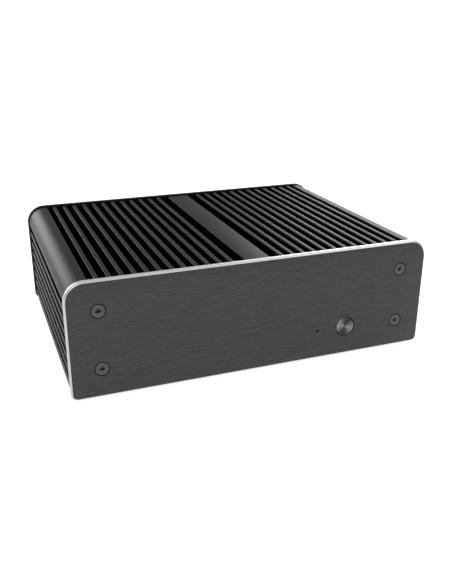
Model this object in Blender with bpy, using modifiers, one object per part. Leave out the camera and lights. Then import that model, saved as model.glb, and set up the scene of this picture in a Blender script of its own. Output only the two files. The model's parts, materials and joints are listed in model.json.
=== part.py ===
"""A fanless mini PC: a finned aluminium body closed by a front panel, a rear panel and a bottom cover.

Metres, +Z up. The origin is the middle of the footprint, on the surface that the rubber feet stand on.
The front panel faces -Y, and +X is the right-hand side seen from the front.
"""

import math

import bmesh
import bpy
from mathutils import Matrix, Vector

# Overall size
WIDTH = 0.240
DEPTH = 0.177
PANEL_HEIGHT = 0.0745
FOOT_HEIGHT = 0.003
GAP = 0.0003

# Front and rear panels
PANEL_THICKNESS = 0.003
PANEL_TOP_RADIUS = 0.0125
PANEL_BOTTOM_RADIUS = 0.0041
FRONT_CHAMFER = 0.0011
REAR_CHAMFER = 0.0003
PANEL_SCREW_X = 0.1007
PANEL_SCREW_HEIGHTS = (0.0186, 0.0556)

# Extruded body
BODY_INSET = 0.0009
FIN_THICKNESS = 0.00275
TOP_FIN_DEPTH = 0.009
TOP_FIN_FIRST = 0.01675
TOP_FIN_PITCH = 0.00753
TOP_FIN_COUNT = 12
STRIP_HALF_WIDTH = 0.00825
CORNER_BLOCK_X = 0.105
SIDE_FIN_DEPTH = 0.008
SIDE_FIN_LOWEST = 0.0151
SIDE_FIN_PITCH = 0.0078
SIDE_FIN_COUNT = 6
SIDE_BLOCK_HEIGHT = 0.0612
RAIL_HEIGHT = 0.0085
WALL = 0.004
BOSS_RADIUS = 0.0043
THREAD_BORE = 0.0022
SEAM_X = 0.103
TONGUE_REACH = 0.0025
TONGUE_HEIGHTS = (0.0012, 0.0028)

# Bottom cover, feet and the screws that hold the cover
COVER_THICKNESS = 0.0036
COVER_CORNER_RADIUS = 0.0025
COVER_SCREW_X = 0.1126
COVER_SCREW_Y = 0.070
FOOT_X = 0.096
FOOT_Y = 0.066
FOOT_RADIUS = 0.0075

# Power button and indicator
BUTTON_X = 0.062
BUTTON_HEIGHT = 0.0198
BUTTON_RADIUS = 0.0063
LED_X = 0.0412
LED_HOLE_RADIUS = 0.0008
BUTTON_FRAME_SCREWS = (0.0505, 0.0745)
SWITCH_BOARD_DEPTH = 0.017

# Mainboard: 170 mm square, on four standoffs
BOARD_SIZE = 0.170
BOARD_THICKNESS = 0.0016
STANDOFF_HEIGHT = 0.005
BOARD_HOLES = ((-0.07865, -0.0801), (0.07883, -0.0801), (-0.07865, 0.07484), (0.07883, 0.05198))
PROCESSOR_X = -0.005
PROCESSOR_Y = 0.002
COOLER_HOLE_HALF_PITCH = 0.0375

# Memory module, drive and rear connectors
MEMORY_X = -0.066
MEMORY_MIDDLE_Y = -0.001
MEMORY_LENGTH = 0.13335
MEMORY_HEIGHT = 0.03125
LATCH_PIVOT_REACH = 0.0735
DRIVE_X = 0.050
DRIVE_FRONT_Y = -0.0583
DRIVE_LENGTH = 0.080
DRIVE_WIDTH = 0.022
APERTURE_WIDTH = 0.15875
APERTURE_HEIGHT = 0.04445
APERTURE_BELOW_BOARD = 0.0038
PORT_FACE_Y = 0.088

# Heights worked out from the sizes above
PANEL_BOTTOM = FOOT_HEIGHT
PANEL_TOP = FOOT_HEIGHT + PANEL_HEIGHT
BODY_TOP = PANEL_TOP - BODY_INSET
BODY_HALF_WIDTH = WIDTH / 2 - BODY_INSET
COVER_TOP = FOOT_HEIGHT + COVER_THICKNESS
BODY_BOTTOM = COVER_TOP + GAP
CEILING = BODY_TOP - TOP_FIN_DEPTH - WALL
INNER_X = BODY_HALF_WIDTH - SIDE_FIN_DEPTH - WALL
FRONT_Y = -DEPTH / 2
REAR_Y = DEPTH / 2
INNER_DEPTH = DEPTH - 2 * PANEL_THICKNESS
BODY_LENGTH = INNER_DEPTH - 2 * GAP
BOARD_BOTTOM = COVER_TOP + GAP + STANDOFF_HEIGHT + GAP
BOARD_TOP = BOARD_BOTTOM + BOARD_THICKNESS
ON_BOARD = BOARD_TOP + GAP
BUTTON_Z = PANEL_BOTTOM + BUTTON_HEIGHT
APERTURE_BOTTOM = BOARD_TOP - APERTURE_BELOW_BOARD

FACE_FRONT = (math.pi / 2, 0.0, 0.0)
FACE_REAR = (-math.pi / 2, 0.0, 0.0)
FACE_DOWN = (math.pi, 0.0, 0.0)
ALONG_X = (0.0, math.pi / 2, 0.0)
UPRIGHT = (0.0, 0.0, 0.0)

PORTS = {
    "dc_jack": {"x": 0.070, "size": (0.0095, 0.0145, 0.0110)},
    "video_port": {"x": 0.050, "size": (0.0150, 0.0115, 0.0058)},
    "usb_ports": {"x": 0.026, "size": (0.0138, 0.0175, 0.0156)},
    "lan_port": {"x": 0.000, "size": (0.0160, 0.0210, 0.0136)},
    "audio_jacks": {"x": -0.040, "size": (0.0126, 0.0140, 0.0320)},
}

# Colour, roughness and metallic value of each material
FINISHES = {
    "body_black": ((0.030, 0.030, 0.032), 0.42, 1.0),
    "front_grey": ((0.075, 0.075, 0.078), 0.38, 1.0),
    "rear_black": ((0.025, 0.025, 0.027), 0.45, 1.0),
    "cover_black": ((0.030, 0.030, 0.030), 0.55, 0.0),
    "rubber_black": ((0.015, 0.015, 0.015), 0.85, 0.0),
    "screw_grey": ((0.110, 0.110, 0.115), 0.35, 1.0),
    "button_silver": ((0.350, 0.350, 0.360), 0.28, 1.0),
    "steel": ((0.560, 0.570, 0.580), 0.30, 1.0),
    "plastic_black": ((0.020, 0.020, 0.022), 0.50, 0.0),
    "plastic_ivory": ((0.700, 0.680, 0.600), 0.45, 0.0),
    "board_dark": ((0.012, 0.035, 0.022), 0.35, 0.0),
    "block_aluminium": ((0.700, 0.710, 0.720), 0.32, 1.0),
    "led_clear": ((0.800, 0.850, 0.950), 0.15, 0.0),
    "brass": ((0.650, 0.480, 0.200), 0.30, 1.0),
}


def clear_scene():
    for obj in list(bpy.data.objects):
        bpy.data.objects.remove(obj, do_unlink=True)


def make_collection(name):
    collection = bpy.data.collections.new(name)
    bpy.context.scene.collection.children.link(collection)
    return collection


def make_material(name):
    colour, roughness, metallic = FINISHES[name]
    material = bpy.data.materials.new(name)
    material.use_nodes = True
    shader = material.node_tree.nodes["Principled BSDF"]
    shader.inputs["Base Color"].default_value = (*colour, 1.0)
    shader.inputs["Roughness"].default_value = roughness
    shader.inputs["Metallic"].default_value = metallic
    return material


clear_scene()
PARTS = make_collection("mini_pc")
CUTTERS = make_collection("cutters")
MATERIALS = {finish: make_material(finish) for finish in FINISHES}


def place(name, mesh, finish, location=(0.0, 0.0, 0.0), rotation=UPRIGHT):
    """Adds one sub-part to the object's collection."""
    obj = bpy.data.objects.new(name, mesh)
    PARTS.objects.link(obj)
    obj.location = location
    obj.rotation_euler = rotation
    mesh.materials.clear()
    mesh.materials.append(MATERIALS[finish])
    return obj


def place_cutter(mesh, location=(0.0, 0.0, 0.0), rotation=UPRIGHT):
    """Adds a shape that is only cut from a sub-part, or joined to one."""
    obj = bpy.data.objects.new("cutter", mesh)
    CUTTERS.objects.link(obj)
    obj.location = location
    obj.rotation_euler = rotation
    obj.hide_render = True
    obj.display_type = "WIRE"
    return obj


def combine(target, tool, operation):
    modifier = target.modifiers.new(operation.lower(), "BOOLEAN")
    modifier.operation = operation
    modifier.solver = "EXACT"
    modifier.object = tool
    return target


def cut(target, *tools):
    for tool in tools:
        combine(target, tool, "DIFFERENCE")
    return target


def fuse(target, *tools):
    for tool in tools:
        combine(target, tool, "UNION")
    return target


def box_mesh(size):
    bm = bmesh.new()
    bmesh.ops.create_cube(bm, size=1.0)
    bmesh.ops.scale(bm, vec=size, verts=bm.verts)
    return mesh_from(bm)


def cylinder_mesh(radius, length, segments=24):
    bm = bmesh.new()
    shape = {"radius1": radius, "radius2": radius, "depth": length}
    bmesh.ops.create_cone(bm, cap_ends=True, segments=segments, **shape)
    return mesh_from(bm)


def mesh_from(bm, name="shape"):
    mesh = bpy.data.meshes.new(name)
    bm.to_mesh(mesh)
    bm.free()
    return mesh


def middle(low, high):
    return tuple((a + b) / 2 for a, b in zip(low, high))


def span(low, high):
    return tuple(b - a for a, b in zip(low, high))


def box(name, low, high, finish):
    return place(name, box_mesh(span(low, high)), finish, middle(low, high))


def box_cutter(low, high):
    return place_cutter(box_mesh(span(low, high)), middle(low, high))


def rod_cutter(radius, length, location, rotation=UPRIGHT, segments=16):
    """A cylinder centred on location, its axis along its own Z."""
    return place_cutter(cylinder_mesh(radius, length, segments), location, rotation)


def bake(obj):
    """Turns an object, its modifiers and its cutters into one plain mesh, and removes them."""
    tools = [modifier.object for modifier in obj.modifiers if modifier.type == "BOOLEAN"]
    evaluated = obj.evaluated_get(bpy.context.evaluated_depsgraph_get())
    mesh = bpy.data.meshes.new_from_object(evaluated)
    for used in [obj, *tools]:
        bpy.data.objects.remove(used, do_unlink=True)
    return mesh


def smooth(mesh, degrees=35.0):
    mesh.shade_smooth()
    mesh.set_sharp_from_angle(angle=math.radians(degrees))
    return mesh


def turned_mesh(profile, segments=32, closed=False):
    """A profile of (radius, height) points turned about Z, running down the outer side from the top."""
    bm = bmesh.new()
    points = [bm.verts.new((radius, 0.0, height)) for radius, height in profile]
    ends = points[1:] + points[:1] if closed else points[1:]
    for start, end in zip(points, ends):
        bm.edges.new((start, end))
    obj = bpy.data.objects.new("profile", mesh_from(bm))
    CUTTERS.objects.link(obj)
    screw = obj.modifiers.new("turn", "SCREW")
    screw.axis = "Z"
    screw.steps = segments
    screw.render_steps = segments
    screw.use_merge_vertices = True
    screw.merge_threshold = 0.000001
    return smooth(bake(obj))


def arc(centre, radius, start_degrees, end_degrees, steps):
    """Points on an arc of a circle, both ends included."""
    angles = [start_degrees + (end_degrees - start_degrees) * i / steps for i in range(steps + 1)]
    return [
        (centre[0] + radius * math.cos(math.radians(a)), centre[1] + radius * math.sin(math.radians(a)))
        for a in angles
    ]


def circle(centre, radius, steps):
    return arc(centre, radius, 0.0, 360.0, steps)[:-1]


def outline_mesh(loops, thickness):
    """A flat outline with its holes, given thickness along its own Z and welded into one closed mesh."""
    curve = bpy.data.curves.new("outline", "CURVE")
    curve.dimensions = "2D"
    curve.fill_mode = "BOTH"
    curve.extrude = thickness / 2
    for loop in loops:
        spline = curve.splines.new("POLY")
        spline.points.add(len(loop) - 1)
        for point, (x, y) in zip(spline.points, loop):
            point.co = (x, y, 0.0, 1.0)
        spline.use_cyclic_u = True
    obj = bpy.data.objects.new("outline", curve)
    CUTTERS.objects.link(obj)
    mesh = bake(obj)
    bpy.data.curves.remove(curve)
    bm = bmesh.new()
    bm.from_mesh(mesh)
    bmesh.ops.remove_doubles(bm, verts=bm.verts, dist=0.000001)
    bmesh.ops.recalc_face_normals(bm, faces=bm.faces)
    bmesh.ops.dissolve_limit(bm, angle_limit=math.radians(0.5), verts=bm.verts, edges=bm.edges)
    bm.to_mesh(mesh)
    bm.free()
    return mesh


def tube_mesh(points, radius):
    """A round wire of the given radius along the points, its ends closed."""
    curve = bpy.data.curves.new("wire", "CURVE")
    curve.dimensions = "3D"
    curve.bevel_depth = radius
    curve.bevel_resolution = 2
    curve.use_fill_caps = True
    spline = curve.splines.new("POLY")
    spline.points.add(len(points) - 1)
    for point, (x, y, z) in zip(spline.points, points):
        point.co = (x, y, z, 1.0)
    obj = bpy.data.objects.new("wire", curve)
    CUTTERS.objects.link(obj)
    mesh = bake(obj)
    bpy.data.curves.remove(curve)
    bm = bmesh.new()
    bm.from_mesh(mesh)
    bmesh.ops.remove_doubles(bm, verts=bm.verts, dist=0.000001)
    bmesh.ops.recalc_face_normals(bm, faces=bm.faces)
    bm.to_mesh(mesh)
    bm.free()
    return smooth(mesh, 50.0)


def top_half_outline():
    """The right half of the top heat sink's section, from the strip round to the underside by the seam."""
    top_floor = BODY_TOP - TOP_FIN_DEPTH
    half_fin = FIN_THICKNESS / 2
    points = [(STRIP_HALF_WIDTH, BODY_TOP), (STRIP_HALF_WIDTH, top_floor)]
    for index in range(TOP_FIN_COUNT):
        x = TOP_FIN_FIRST + index * TOP_FIN_PITCH
        points += [(x - half_fin, top_floor), (x - half_fin, BODY_TOP)]
        points += [(x + half_fin, BODY_TOP), (x + half_fin, top_floor)]
    edge = SEAM_X - GAP / 2
    tongue_end = SEAM_X + TONGUE_REACH
    tongue_low, tongue_high = [CEILING + height for height in TONGUE_HEIGHTS]
    points += [(edge, top_floor), (edge, tongue_high), (tongue_end, tongue_high)]
    points += [(tongue_end, tongue_low), (edge, tongue_low), (edge, CEILING)]
    return points


def side_outline():
    """The right side profile's section: corner block, side fins, rail, screw bosses and the groove."""
    top_floor = BODY_TOP - TOP_FIN_DEPTH
    side_floor = BODY_HALF_WIDTH - SIDE_FIN_DEPTH
    half_fin = FIN_THICKNESS / 2
    edge = SEAM_X + GAP / 2
    radius = PANEL_TOP_RADIUS - BODY_INSET
    points = [(edge, top_floor), (CORNER_BLOCK_X, top_floor), (CORNER_BLOCK_X, BODY_TOP)]
    points += arc((BODY_HALF_WIDTH - radius, BODY_TOP - radius), radius, 90.0, 0.0, 12)
    block_low = PANEL_BOTTOM + SIDE_BLOCK_HEIGHT
    points += [(BODY_HALF_WIDTH, block_low), (side_floor, block_low)]
    for index in reversed(range(SIDE_FIN_COUNT)):
        z = PANEL_BOTTOM + SIDE_FIN_LOWEST + index * SIDE_FIN_PITCH
        points += [(side_floor, z + half_fin), (BODY_HALF_WIDTH, z + half_fin)]
        points += [(BODY_HALF_WIDTH, z - half_fin), (side_floor, z - half_fin)]
    rail_top = PANEL_BOTTOM + RAIL_HEIGHT
    points += [(side_floor, rail_top), (BODY_HALF_WIDTH, rail_top)]
    points += [(BODY_HALF_WIDTH, BODY_BOTTOM), (INNER_X, BODY_BOTTOM)]
    lower, upper = [PANEL_BOTTOM + height for height in PANEL_SCREW_HEIGHTS]
    points += [(INNER_X, lower - BOSS_RADIUS)]
    points += arc((PANEL_SCREW_X, lower), BOSS_RADIUS, 270.0, 90.0, 10)
    points += [(INNER_X, lower + BOSS_RADIUS), (INNER_X, upper - BOSS_RADIUS)]
    points += arc((PANEL_SCREW_X, upper), BOSS_RADIUS, 270.0, 90.0, 10)
    groove_low, groove_high = [CEILING + height for height in TONGUE_HEIGHTS]
    groove_end = SEAM_X + TONGUE_REACH + GAP
    points += [(edge, upper + BOSS_RADIUS), (edge, groove_low - GAP), (groove_end, groove_low - GAP)]
    points += [(groove_end, groove_high + GAP), (edge, groove_high + GAP)]
    return points


def panel_screw_places():
    for side, x in (("left", -PANEL_SCREW_X), ("right", PANEL_SCREW_X)):
        for level, height in zip(("lower", "upper"), PANEL_SCREW_HEIGHTS):
            yield level + "_" + side, x, PANEL_BOTTOM + height


def corner_places(x, y):
    for end, sign_y in (("front", -1), ("rear", 1)):
        for side, sign_x in (("left", -1), ("right", 1)):
            yield end + "_" + side, sign_x * x, sign_y * y


def build_top_heat_sink():
    """The finned top: its edges are tongues that slide into the side profiles' grooves."""
    half = top_half_outline()
    mesh = outline_mesh([half + [(-x, z) for x, z in reversed(half)]], BODY_LENGTH)
    place("top_heat_sink", smooth(mesh, 20.0), "body_black", rotation=FACE_FRONT)


def build_side_profiles():
    """The panels screw into the bosses of these two, and the bottom cover into their rails."""
    hole_radius, hole_length = 0.0018, 0.0036
    for side, sign in (("left", -1), ("right", 1)):
        section = [(sign * x, z) for x, z in side_outline()]
        bores = [
            circle((sign * PANEL_SCREW_X, PANEL_BOTTOM + height), THREAD_BORE, 16)
            for height in PANEL_SCREW_HEIGHTS
        ]
        mesh = outline_mesh([section, *bores], BODY_LENGTH)
        profile = place("side_profile_" + side, smooth(mesh, 20.0), "body_black", rotation=FACE_FRONT)
        for y in (-COVER_SCREW_Y, COVER_SCREW_Y):
            hole = (sign * COVER_SCREW_X, y, BODY_BOTTOM)
            cut(profile, rod_cutter(hole_radius, 2 * hole_length, hole, segments=12))


def panel_outline():
    half_width = WIDTH / 2
    low, high = PANEL_BOTTOM + PANEL_BOTTOM_RADIUS, PANEL_TOP - PANEL_TOP_RADIUS
    lower_x, upper_x = half_width - PANEL_BOTTOM_RADIUS, half_width - PANEL_TOP_RADIUS
    right = arc((lower_x, low), PANEL_BOTTOM_RADIUS, -90.0, 0.0, 6)
    right += arc((upper_x, high), PANEL_TOP_RADIUS, 0.0, 90.0, 14)
    return right + [(-x, z) for x, z in reversed(right)]


def chamfer_front_edge(mesh, width):
    """Chamfers the outline's edge on the mesh's +Z side."""
    bm = bmesh.new()
    bm.from_mesh(mesh)
    top = max(vert.co.z for vert in bm.verts)
    rim = [e for e in bm.edges if all(abs(v.co.z - top) < GAP / 10 for v in e.verts)]
    bmesh.ops.bevel(bm, geom=rim, offset=width, segments=1, affect="EDGES", profile=0.5)
    bm.to_mesh(mesh)
    bm.free()
    return mesh


def countersink_profile(mouth, land, bore, depth):
    """A countersink's (radius, height) points: a short straight mouth, a 45 degree cone and a bore."""
    above = 0.001
    cone_end = -land - (mouth - bore)
    return [(0.0, above), (mouth, above), (mouth, -land), (bore, cone_end), (bore, -depth), (0.0, -depth)]


def build_panel(name, finish, rotation, chamfer):
    """A plate whose outer face looks along its own +Z, countersunk for the four corner screws."""
    mesh = chamfer_front_edge(outline_mesh([panel_outline()], PANEL_THICKNESS), chamfer)
    outer = FRONT_Y if rotation == FACE_FRONT else REAR_Y
    inward = 1 if rotation == FACE_FRONT else -1
    if rotation == FACE_REAR:
        mesh.transform(Matrix.Rotation(math.pi, 4, "Z"))
    centre = (0.0, outer + inward * PANEL_THICKNESS / 2, 0.0)
    panel = place(name, smooth(mesh, 25.0), finish, centre, rotation)
    sink = turned_mesh(countersink_profile(0.0044, 0.00035, 0.0022, 0.004), 20)
    for _, x, z in panel_screw_places():
        cut(panel, place_cutter(sink, (x, outer, z), rotation))
    return panel


def build_front_panel():
    panel = build_panel("front_panel", "front_grey", FACE_FRONT, FRONT_CHAMFER)
    through = 4 * PANEL_THICKNESS
    button_hole = cylinder_mesh(BUTTON_RADIUS + GAP, through, 32)
    cut(panel, place_cutter(button_hole, (BUTTON_X, FRONT_Y, BUTTON_Z), FACE_FRONT))
    cut(panel, rod_cutter(LED_HOLE_RADIUS, through, (LED_X, FRONT_Y, BUTTON_Z), FACE_FRONT, 16))
    blind = 0.0018
    inner_face = FRONT_Y + PANEL_THICKNESS
    for x in BUTTON_FRAME_SCREWS:
        cut(panel, rod_cutter(0.0012, 2 * blind, (x, inner_face, BUTTON_Z), FACE_FRONT, 16))


def build_rear_panel():
    panel = build_panel("rear_panel", "rear_black", FACE_REAR, REAR_CHAMFER)
    half = APERTURE_WIDTH / 2
    low = (-half, REAR_Y - 2 * PANEL_THICKNESS, APERTURE_BOTTOM)
    high = (half, REAR_Y + PANEL_THICKNESS, APERTURE_BOTTOM + APERTURE_HEIGHT)
    cut(panel, box_cutter(low, high))


def build_bottom_cover():
    half = BODY_HALF_WIDTH - GAP
    corner = (half - COVER_CORNER_RADIUS, PANEL_BOTTOM + COVER_CORNER_RADIUS)
    right = arc(corner, COVER_CORNER_RADIUS, -90.0, 0.0, 5) + [(half, COVER_TOP)]
    mesh = outline_mesh([right + [(-x, z) for x, z in reversed(right)]], BODY_LENGTH)
    cover = place("bottom_cover", smooth(mesh, 25.0), "cover_black", rotation=FACE_FRONT)
    sink = turned_mesh(countersink_profile(0.0033, 0.0002, 0.0018, 0.005), 16)
    for _, x, y in corner_places(COVER_SCREW_X, COVER_SCREW_Y):
        cut(cover, place_cutter(sink, (x, y, PANEL_BOTTOM), FACE_DOWN))
    for x, y in BOARD_HOLES:
        cut(cover, rod_cutter(0.0017, 4 * COVER_THICKNESS, (x, y, COVER_TOP), segments=12))


def build_feet():
    top = FOOT_HEIGHT - GAP
    tip = FOOT_RADIUS - 0.0009
    rounding = 0.0005
    side = [(FOOT_RADIUS, top), (tip, rounding), (tip - rounding, 0.0)]
    mesh = turned_mesh([(0.0, top), *side, (0.0, 0.0)], 24)
    for corner, x, y in corner_places(FOOT_X, FOOT_Y):
        place("foot_" + corner, mesh, "rubber_black", (x, y, 0.0))


def recessed_screw(profile, wing, slot, depth, segments=12):
    """A screw with its head at the top of its own Z and a cross recess in the head."""
    screw = place("pattern", turned_mesh(profile, segments), "screw_grey")
    top = profile[0][1]
    for size in ((wing, slot, 2 * depth), (slot, wing, 2 * depth)):
        cut(screw, place_cutter(box_mesh(size), (0.0, 0.0, top)))
    return smooth(bake(screw))


def build_panel_screws():
    head = [(0.0, 0.0), (0.0041, 0.0), (0.0041, -0.00025), (0.0019, -0.00245)]
    shank = [(0.0019, -0.0115), (0.0015, -0.012), (0.0, -0.012)]
    mesh = recessed_screw(head + shank, 0.0038, 0.0009, 0.0016, 16)
    sunk = 0.00005
    for place_name, x, z in panel_screw_places():
        spin = x * 190.0 + z * 310.0
        for end, y, rotation in (("front", FRONT_Y + sunk, FACE_FRONT), ("rear", REAR_Y - sunk, FACE_REAR)):
            screw = place(end + "_screw_" + place_name, mesh, "screw_grey", (x, y, z))
            turn = Matrix.Rotation(rotation[0], 4, "X") @ Matrix.Rotation(spin, 4, "Z")
            screw.rotation_euler = turn.to_euler()


def build_cover_screws():
    head = [(0.0, 0.0), (0.0030, 0.0), (0.0030, -0.0001), (0.0015, -0.0016)]
    shank = [(0.0015, -0.0060), (0.0012, -0.0064), (0.0, -0.0064)]
    mesh = recessed_screw(head + shank, 0.0028, 0.0007, 0.0011)
    for corner, x, y in corner_places(COVER_SCREW_X, COVER_SCREW_Y):
        place("cover_screw_" + corner, mesh, "screw_grey", (x, y, PANEL_BOTTOM + 0.00005), FACE_DOWN)


def build_power_button():
    """The button cap's own Z points out of the front, with 0 at the panel's front face."""
    dish = [(0.0, -0.00055), (0.0022, -0.0005), (0.0040, -0.00035), (0.0056, -0.00008), (0.0059, -0.00005)]
    side = [(BUTTON_RADIUS, -0.0004), (BUTTON_RADIUS, -0.0033)]
    flange = [(0.0070, -0.0033), (0.0070, -0.0044), (0.0022, -0.0044)]
    stem = [(0.0022, -0.0107), (0.0020, -0.0109), (0.0, -0.0109)]
    mesh = turned_mesh(dish + side + flange + stem, 32)
    place("power_button", mesh, "button_silver", (BUTTON_X, FRONT_Y, BUTTON_Z), FACE_FRONT)


def behind_front(depth):
    """The Y of a plane this far behind the front face."""
    return FRONT_Y + depth


def build_button_frame():
    """A sleeve that guides the cap, on a plate with two screw posts."""
    sleeve_front, plate_front, plate_back = 0.0033, 0.0105, 0.0117
    sleeve = [(0.0086, -sleeve_front), (0.0086, -plate_back), (0.0030, -plate_back)]
    sleeve += [(0.0030, -plate_front), (0.0074, -plate_front), (0.0074, -sleeve_front)]
    frame = place("button_frame", turned_mesh(sleeve, 24, closed=True), "plastic_black")
    frame.location = (BUTTON_X, FRONT_Y, BUTTON_Z)
    frame.rotation_euler = FACE_FRONT
    post_length = SWITCH_BOARD_DEPTH - GAP - sleeve_front
    post_middle = behind_front(sleeve_front + post_length / 2)
    for x in BUTTON_FRAME_SCREWS:
        inward = 0.0080 if x < BUTTON_X else -0.0080
        low = (min(x, BUTTON_X - inward), behind_front(plate_front), BUTTON_Z - 0.002)
        high = (max(x, BUTTON_X - inward), behind_front(plate_back), BUTTON_Z + 0.002)
        fuse(frame, box_cutter(low, high))
        fuse(frame, rod_cutter(0.0023, post_length, (x, post_middle, BUTTON_Z), FACE_FRONT, 20))
        cut(frame, rod_cutter(0.0012, 4 * post_length, (x, post_middle, BUTTON_Z), FACE_FRONT, 16))


def build_button_spring():
    """A coil along its own Z, which points out of the front."""
    turns, per_turn = 4, 10
    radius, wire = 0.0046, 0.0003
    length = 0.0102 - 0.0047 - 2 * wire
    count = turns * per_turn
    points = []
    for index in range(count + 1):
        angle = 2 * math.pi * index / per_turn
        height = length * (index / count - 0.5)
        points.append((radius * math.cos(angle), radius * math.sin(angle), height))
    centre = behind_front((0.0102 + 0.0047) / 2)
    place("button_spring", tube_mesh(points, wire), "steel", (BUTTON_X, centre, BUTTON_Z), FACE_FRONT)


def build_switch_board():
    front = behind_front(SWITCH_BOARD_DEPTH)
    back = front + BOARD_THICKNESS
    board = box("switch_board", (0.0355, front, 0.0155), (0.0785, back, 0.0305), "board_dark")
    for x in BUTTON_FRAME_SCREWS:
        cut(board, rod_cutter(0.0012, 4 * BOARD_THICKNESS, (x, front, BUTTON_Z), FACE_FRONT, 16))
    fuse(board, box_cutter((0.0655, back - GAP, 0.0185), (0.0715, back + 0.004, 0.0235)))

    case_back, case_front, plunger_tip = SWITCH_BOARD_DEPTH - GAP, 0.0132, 0.0120
    half = 0.003
    low = (BUTTON_X - half, behind_front(case_front), BUTTON_Z - half)
    high = (BUTTON_X + half, behind_front(case_back), BUTTON_Z + half)
    switch = box("tact_switch", low, high, "plastic_black")
    plunger_centre = behind_front((case_front + 0.0002 + plunger_tip) / 2)
    plunger_length = case_front + 0.0002 - plunger_tip
    fuse(switch, rod_cutter(0.0017, plunger_length, (BUTTON_X, plunger_centre, BUTTON_Z), FACE_FRONT))

    tip, collar, base = 0.0033, 0.0090, SWITCH_BOARD_DEPTH - GAP
    profile = [(0.0, -tip), (0.0008, -tip - 0.0002), (0.0013, -tip - 0.0007), (0.0015, -tip - 0.0015)]
    profile += [(0.0015, -collar), (0.0024, -collar), (0.0024, -base), (0.0, -base)]
    place("power_led", turned_mesh(profile, 14), "led_clear", (LED_X, FRONT_Y, BUTTON_Z), FACE_FRONT)

    head = [(0.0, 0.0014), (0.0014, 0.0014), (0.0019, 0.0009), (0.0019, 0.0), (0.0009, 0.0)]
    shank_end = -(SWITCH_BOARD_DEPTH + BOARD_THICKNESS + GAP - 0.0015)
    shank = [(0.0009, shank_end + 0.0003), (0.0006, shank_end), (0.0, shank_end)]
    mesh = recessed_screw(head + shank, 0.0018, 0.0005, 0.0007)
    for side, x in zip(("left", "right"), BUTTON_FRAME_SCREWS):
        place("frame_screw_" + side, mesh, "steel", (x, back + GAP, BUTTON_Z), FACE_REAR)


def build_button_lead():
    """The lead from the switch board's plug back and down to the header on the mainboard."""
    start = Vector((0.0685, behind_front(SWITCH_BOARD_DEPTH + BOARD_THICKNESS) + 0.0043, 0.0210))
    end = Vector((0.0760, -0.0500, 0.0204))
    leave, arrive = Vector((0.0, 0.018, 0.004)), Vector((0.0, 0.0, 0.018))
    points = []
    steps = 16
    for index in range(steps + 1):
        t = index / steps
        a, b, c, d = (1 - t) ** 3, 3 * t * (1 - t) ** 2, 3 * t * t * (1 - t), t ** 3
        points.append(tuple(a * start + b * (start + leave) + c * (end + arrive) + d * end))
    place("button_lead", tube_mesh(points, 0.0010), "plastic_black")


def build_mainboard():
    half = BOARD_SIZE / 2
    board = box("mainboard", (-half, -half, BOARD_BOTTOM), (half, half, BOARD_TOP), "board_dark")
    through = 4 * BOARD_THICKNESS
    for x, y in BOARD_HOLES:
        cut(board, rod_cutter(0.0020, through, (x, y, BOARD_TOP), segments=12))
    for x, y in cooler_holes():
        cut(board, rod_cutter(0.0019, through, (x, y, BOARD_TOP), segments=12))
    sunk = BOARD_TOP - GAP
    fuse(board, box_cutter((0.0740, -0.0525, sunk), (0.0780, -0.0475, 0.0200)))
    fuse(board, box_cutter((0.0060, -0.0700, sunk), (0.0260, -0.0500, 0.0190)))
    for index in range(6):
        x = -0.048 + index * 0.011
        fuse(board, box_cutter((x, 0.0480, sunk), (x + 0.0075, 0.0555, 0.0190)))
    for index in range(4):
        x = -0.020 + index * 0.009
        fuse(board, rod_cutter(0.0032, 0.0120, (x, -0.0760, sunk + 0.006), segments=16))
    post = (DRIVE_X, DRIVE_FRONT_Y)
    fuse(board, rod_cutter(0.0024, 0.0029, (*post, sunk + 0.00145), segments=20))
    cut(board, rod_cutter(0.0012, 0.0100, (*post, sunk + 0.0056), segments=16))


def cooler_holes():
    for sign_x in (-1, 1):
        for sign_y in (-1, 1):
            yield (
                PROCESSOR_X + sign_x * COOLER_HOLE_HALF_PITCH,
                PROCESSOR_Y + sign_y * COOLER_HOLE_HALF_PITCH,
            )


def build_board_mounting():
    standoff = place("pattern", cylinder_mesh(0.0029, STANDOFF_HEIGHT, 6), "brass")
    stud_length = 0.0031
    fuse(standoff, rod_cutter(0.0014, 2 * stud_length, (0.0, 0.0, -STANDOFF_HEIGHT / 2), segments=16))
    tapped = 0.0042
    cut(standoff, rod_cutter(0.0017, 2 * tapped, (0.0, 0.0, STANDOFF_HEIGHT / 2), segments=16))
    standoff_mesh = bake(standoff)
    head = [(0.0, 0.0020), (0.0022, 0.0020), (0.0029, 0.0012), (0.0029, 0.0), (0.0014, 0.0)]
    shank = [(0.0014, -0.0051), (0.0011, -0.0054), (0.0, -0.0054)]
    screw_mesh = recessed_screw(head + shank, 0.0026, 0.0007, 0.0011)
    names = ("front_left", "front_right", "rear_left", "rear_right")
    for corner, (x, y) in zip(names, BOARD_HOLES):
        middle_z = COVER_TOP + GAP + STANDOFF_HEIGHT / 2
        place("standoff_" + corner, standoff_mesh, "brass", (x, y, middle_z))
        place("board_screw_" + corner, screw_mesh, "steel", (x, y, ON_BOARD))


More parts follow.
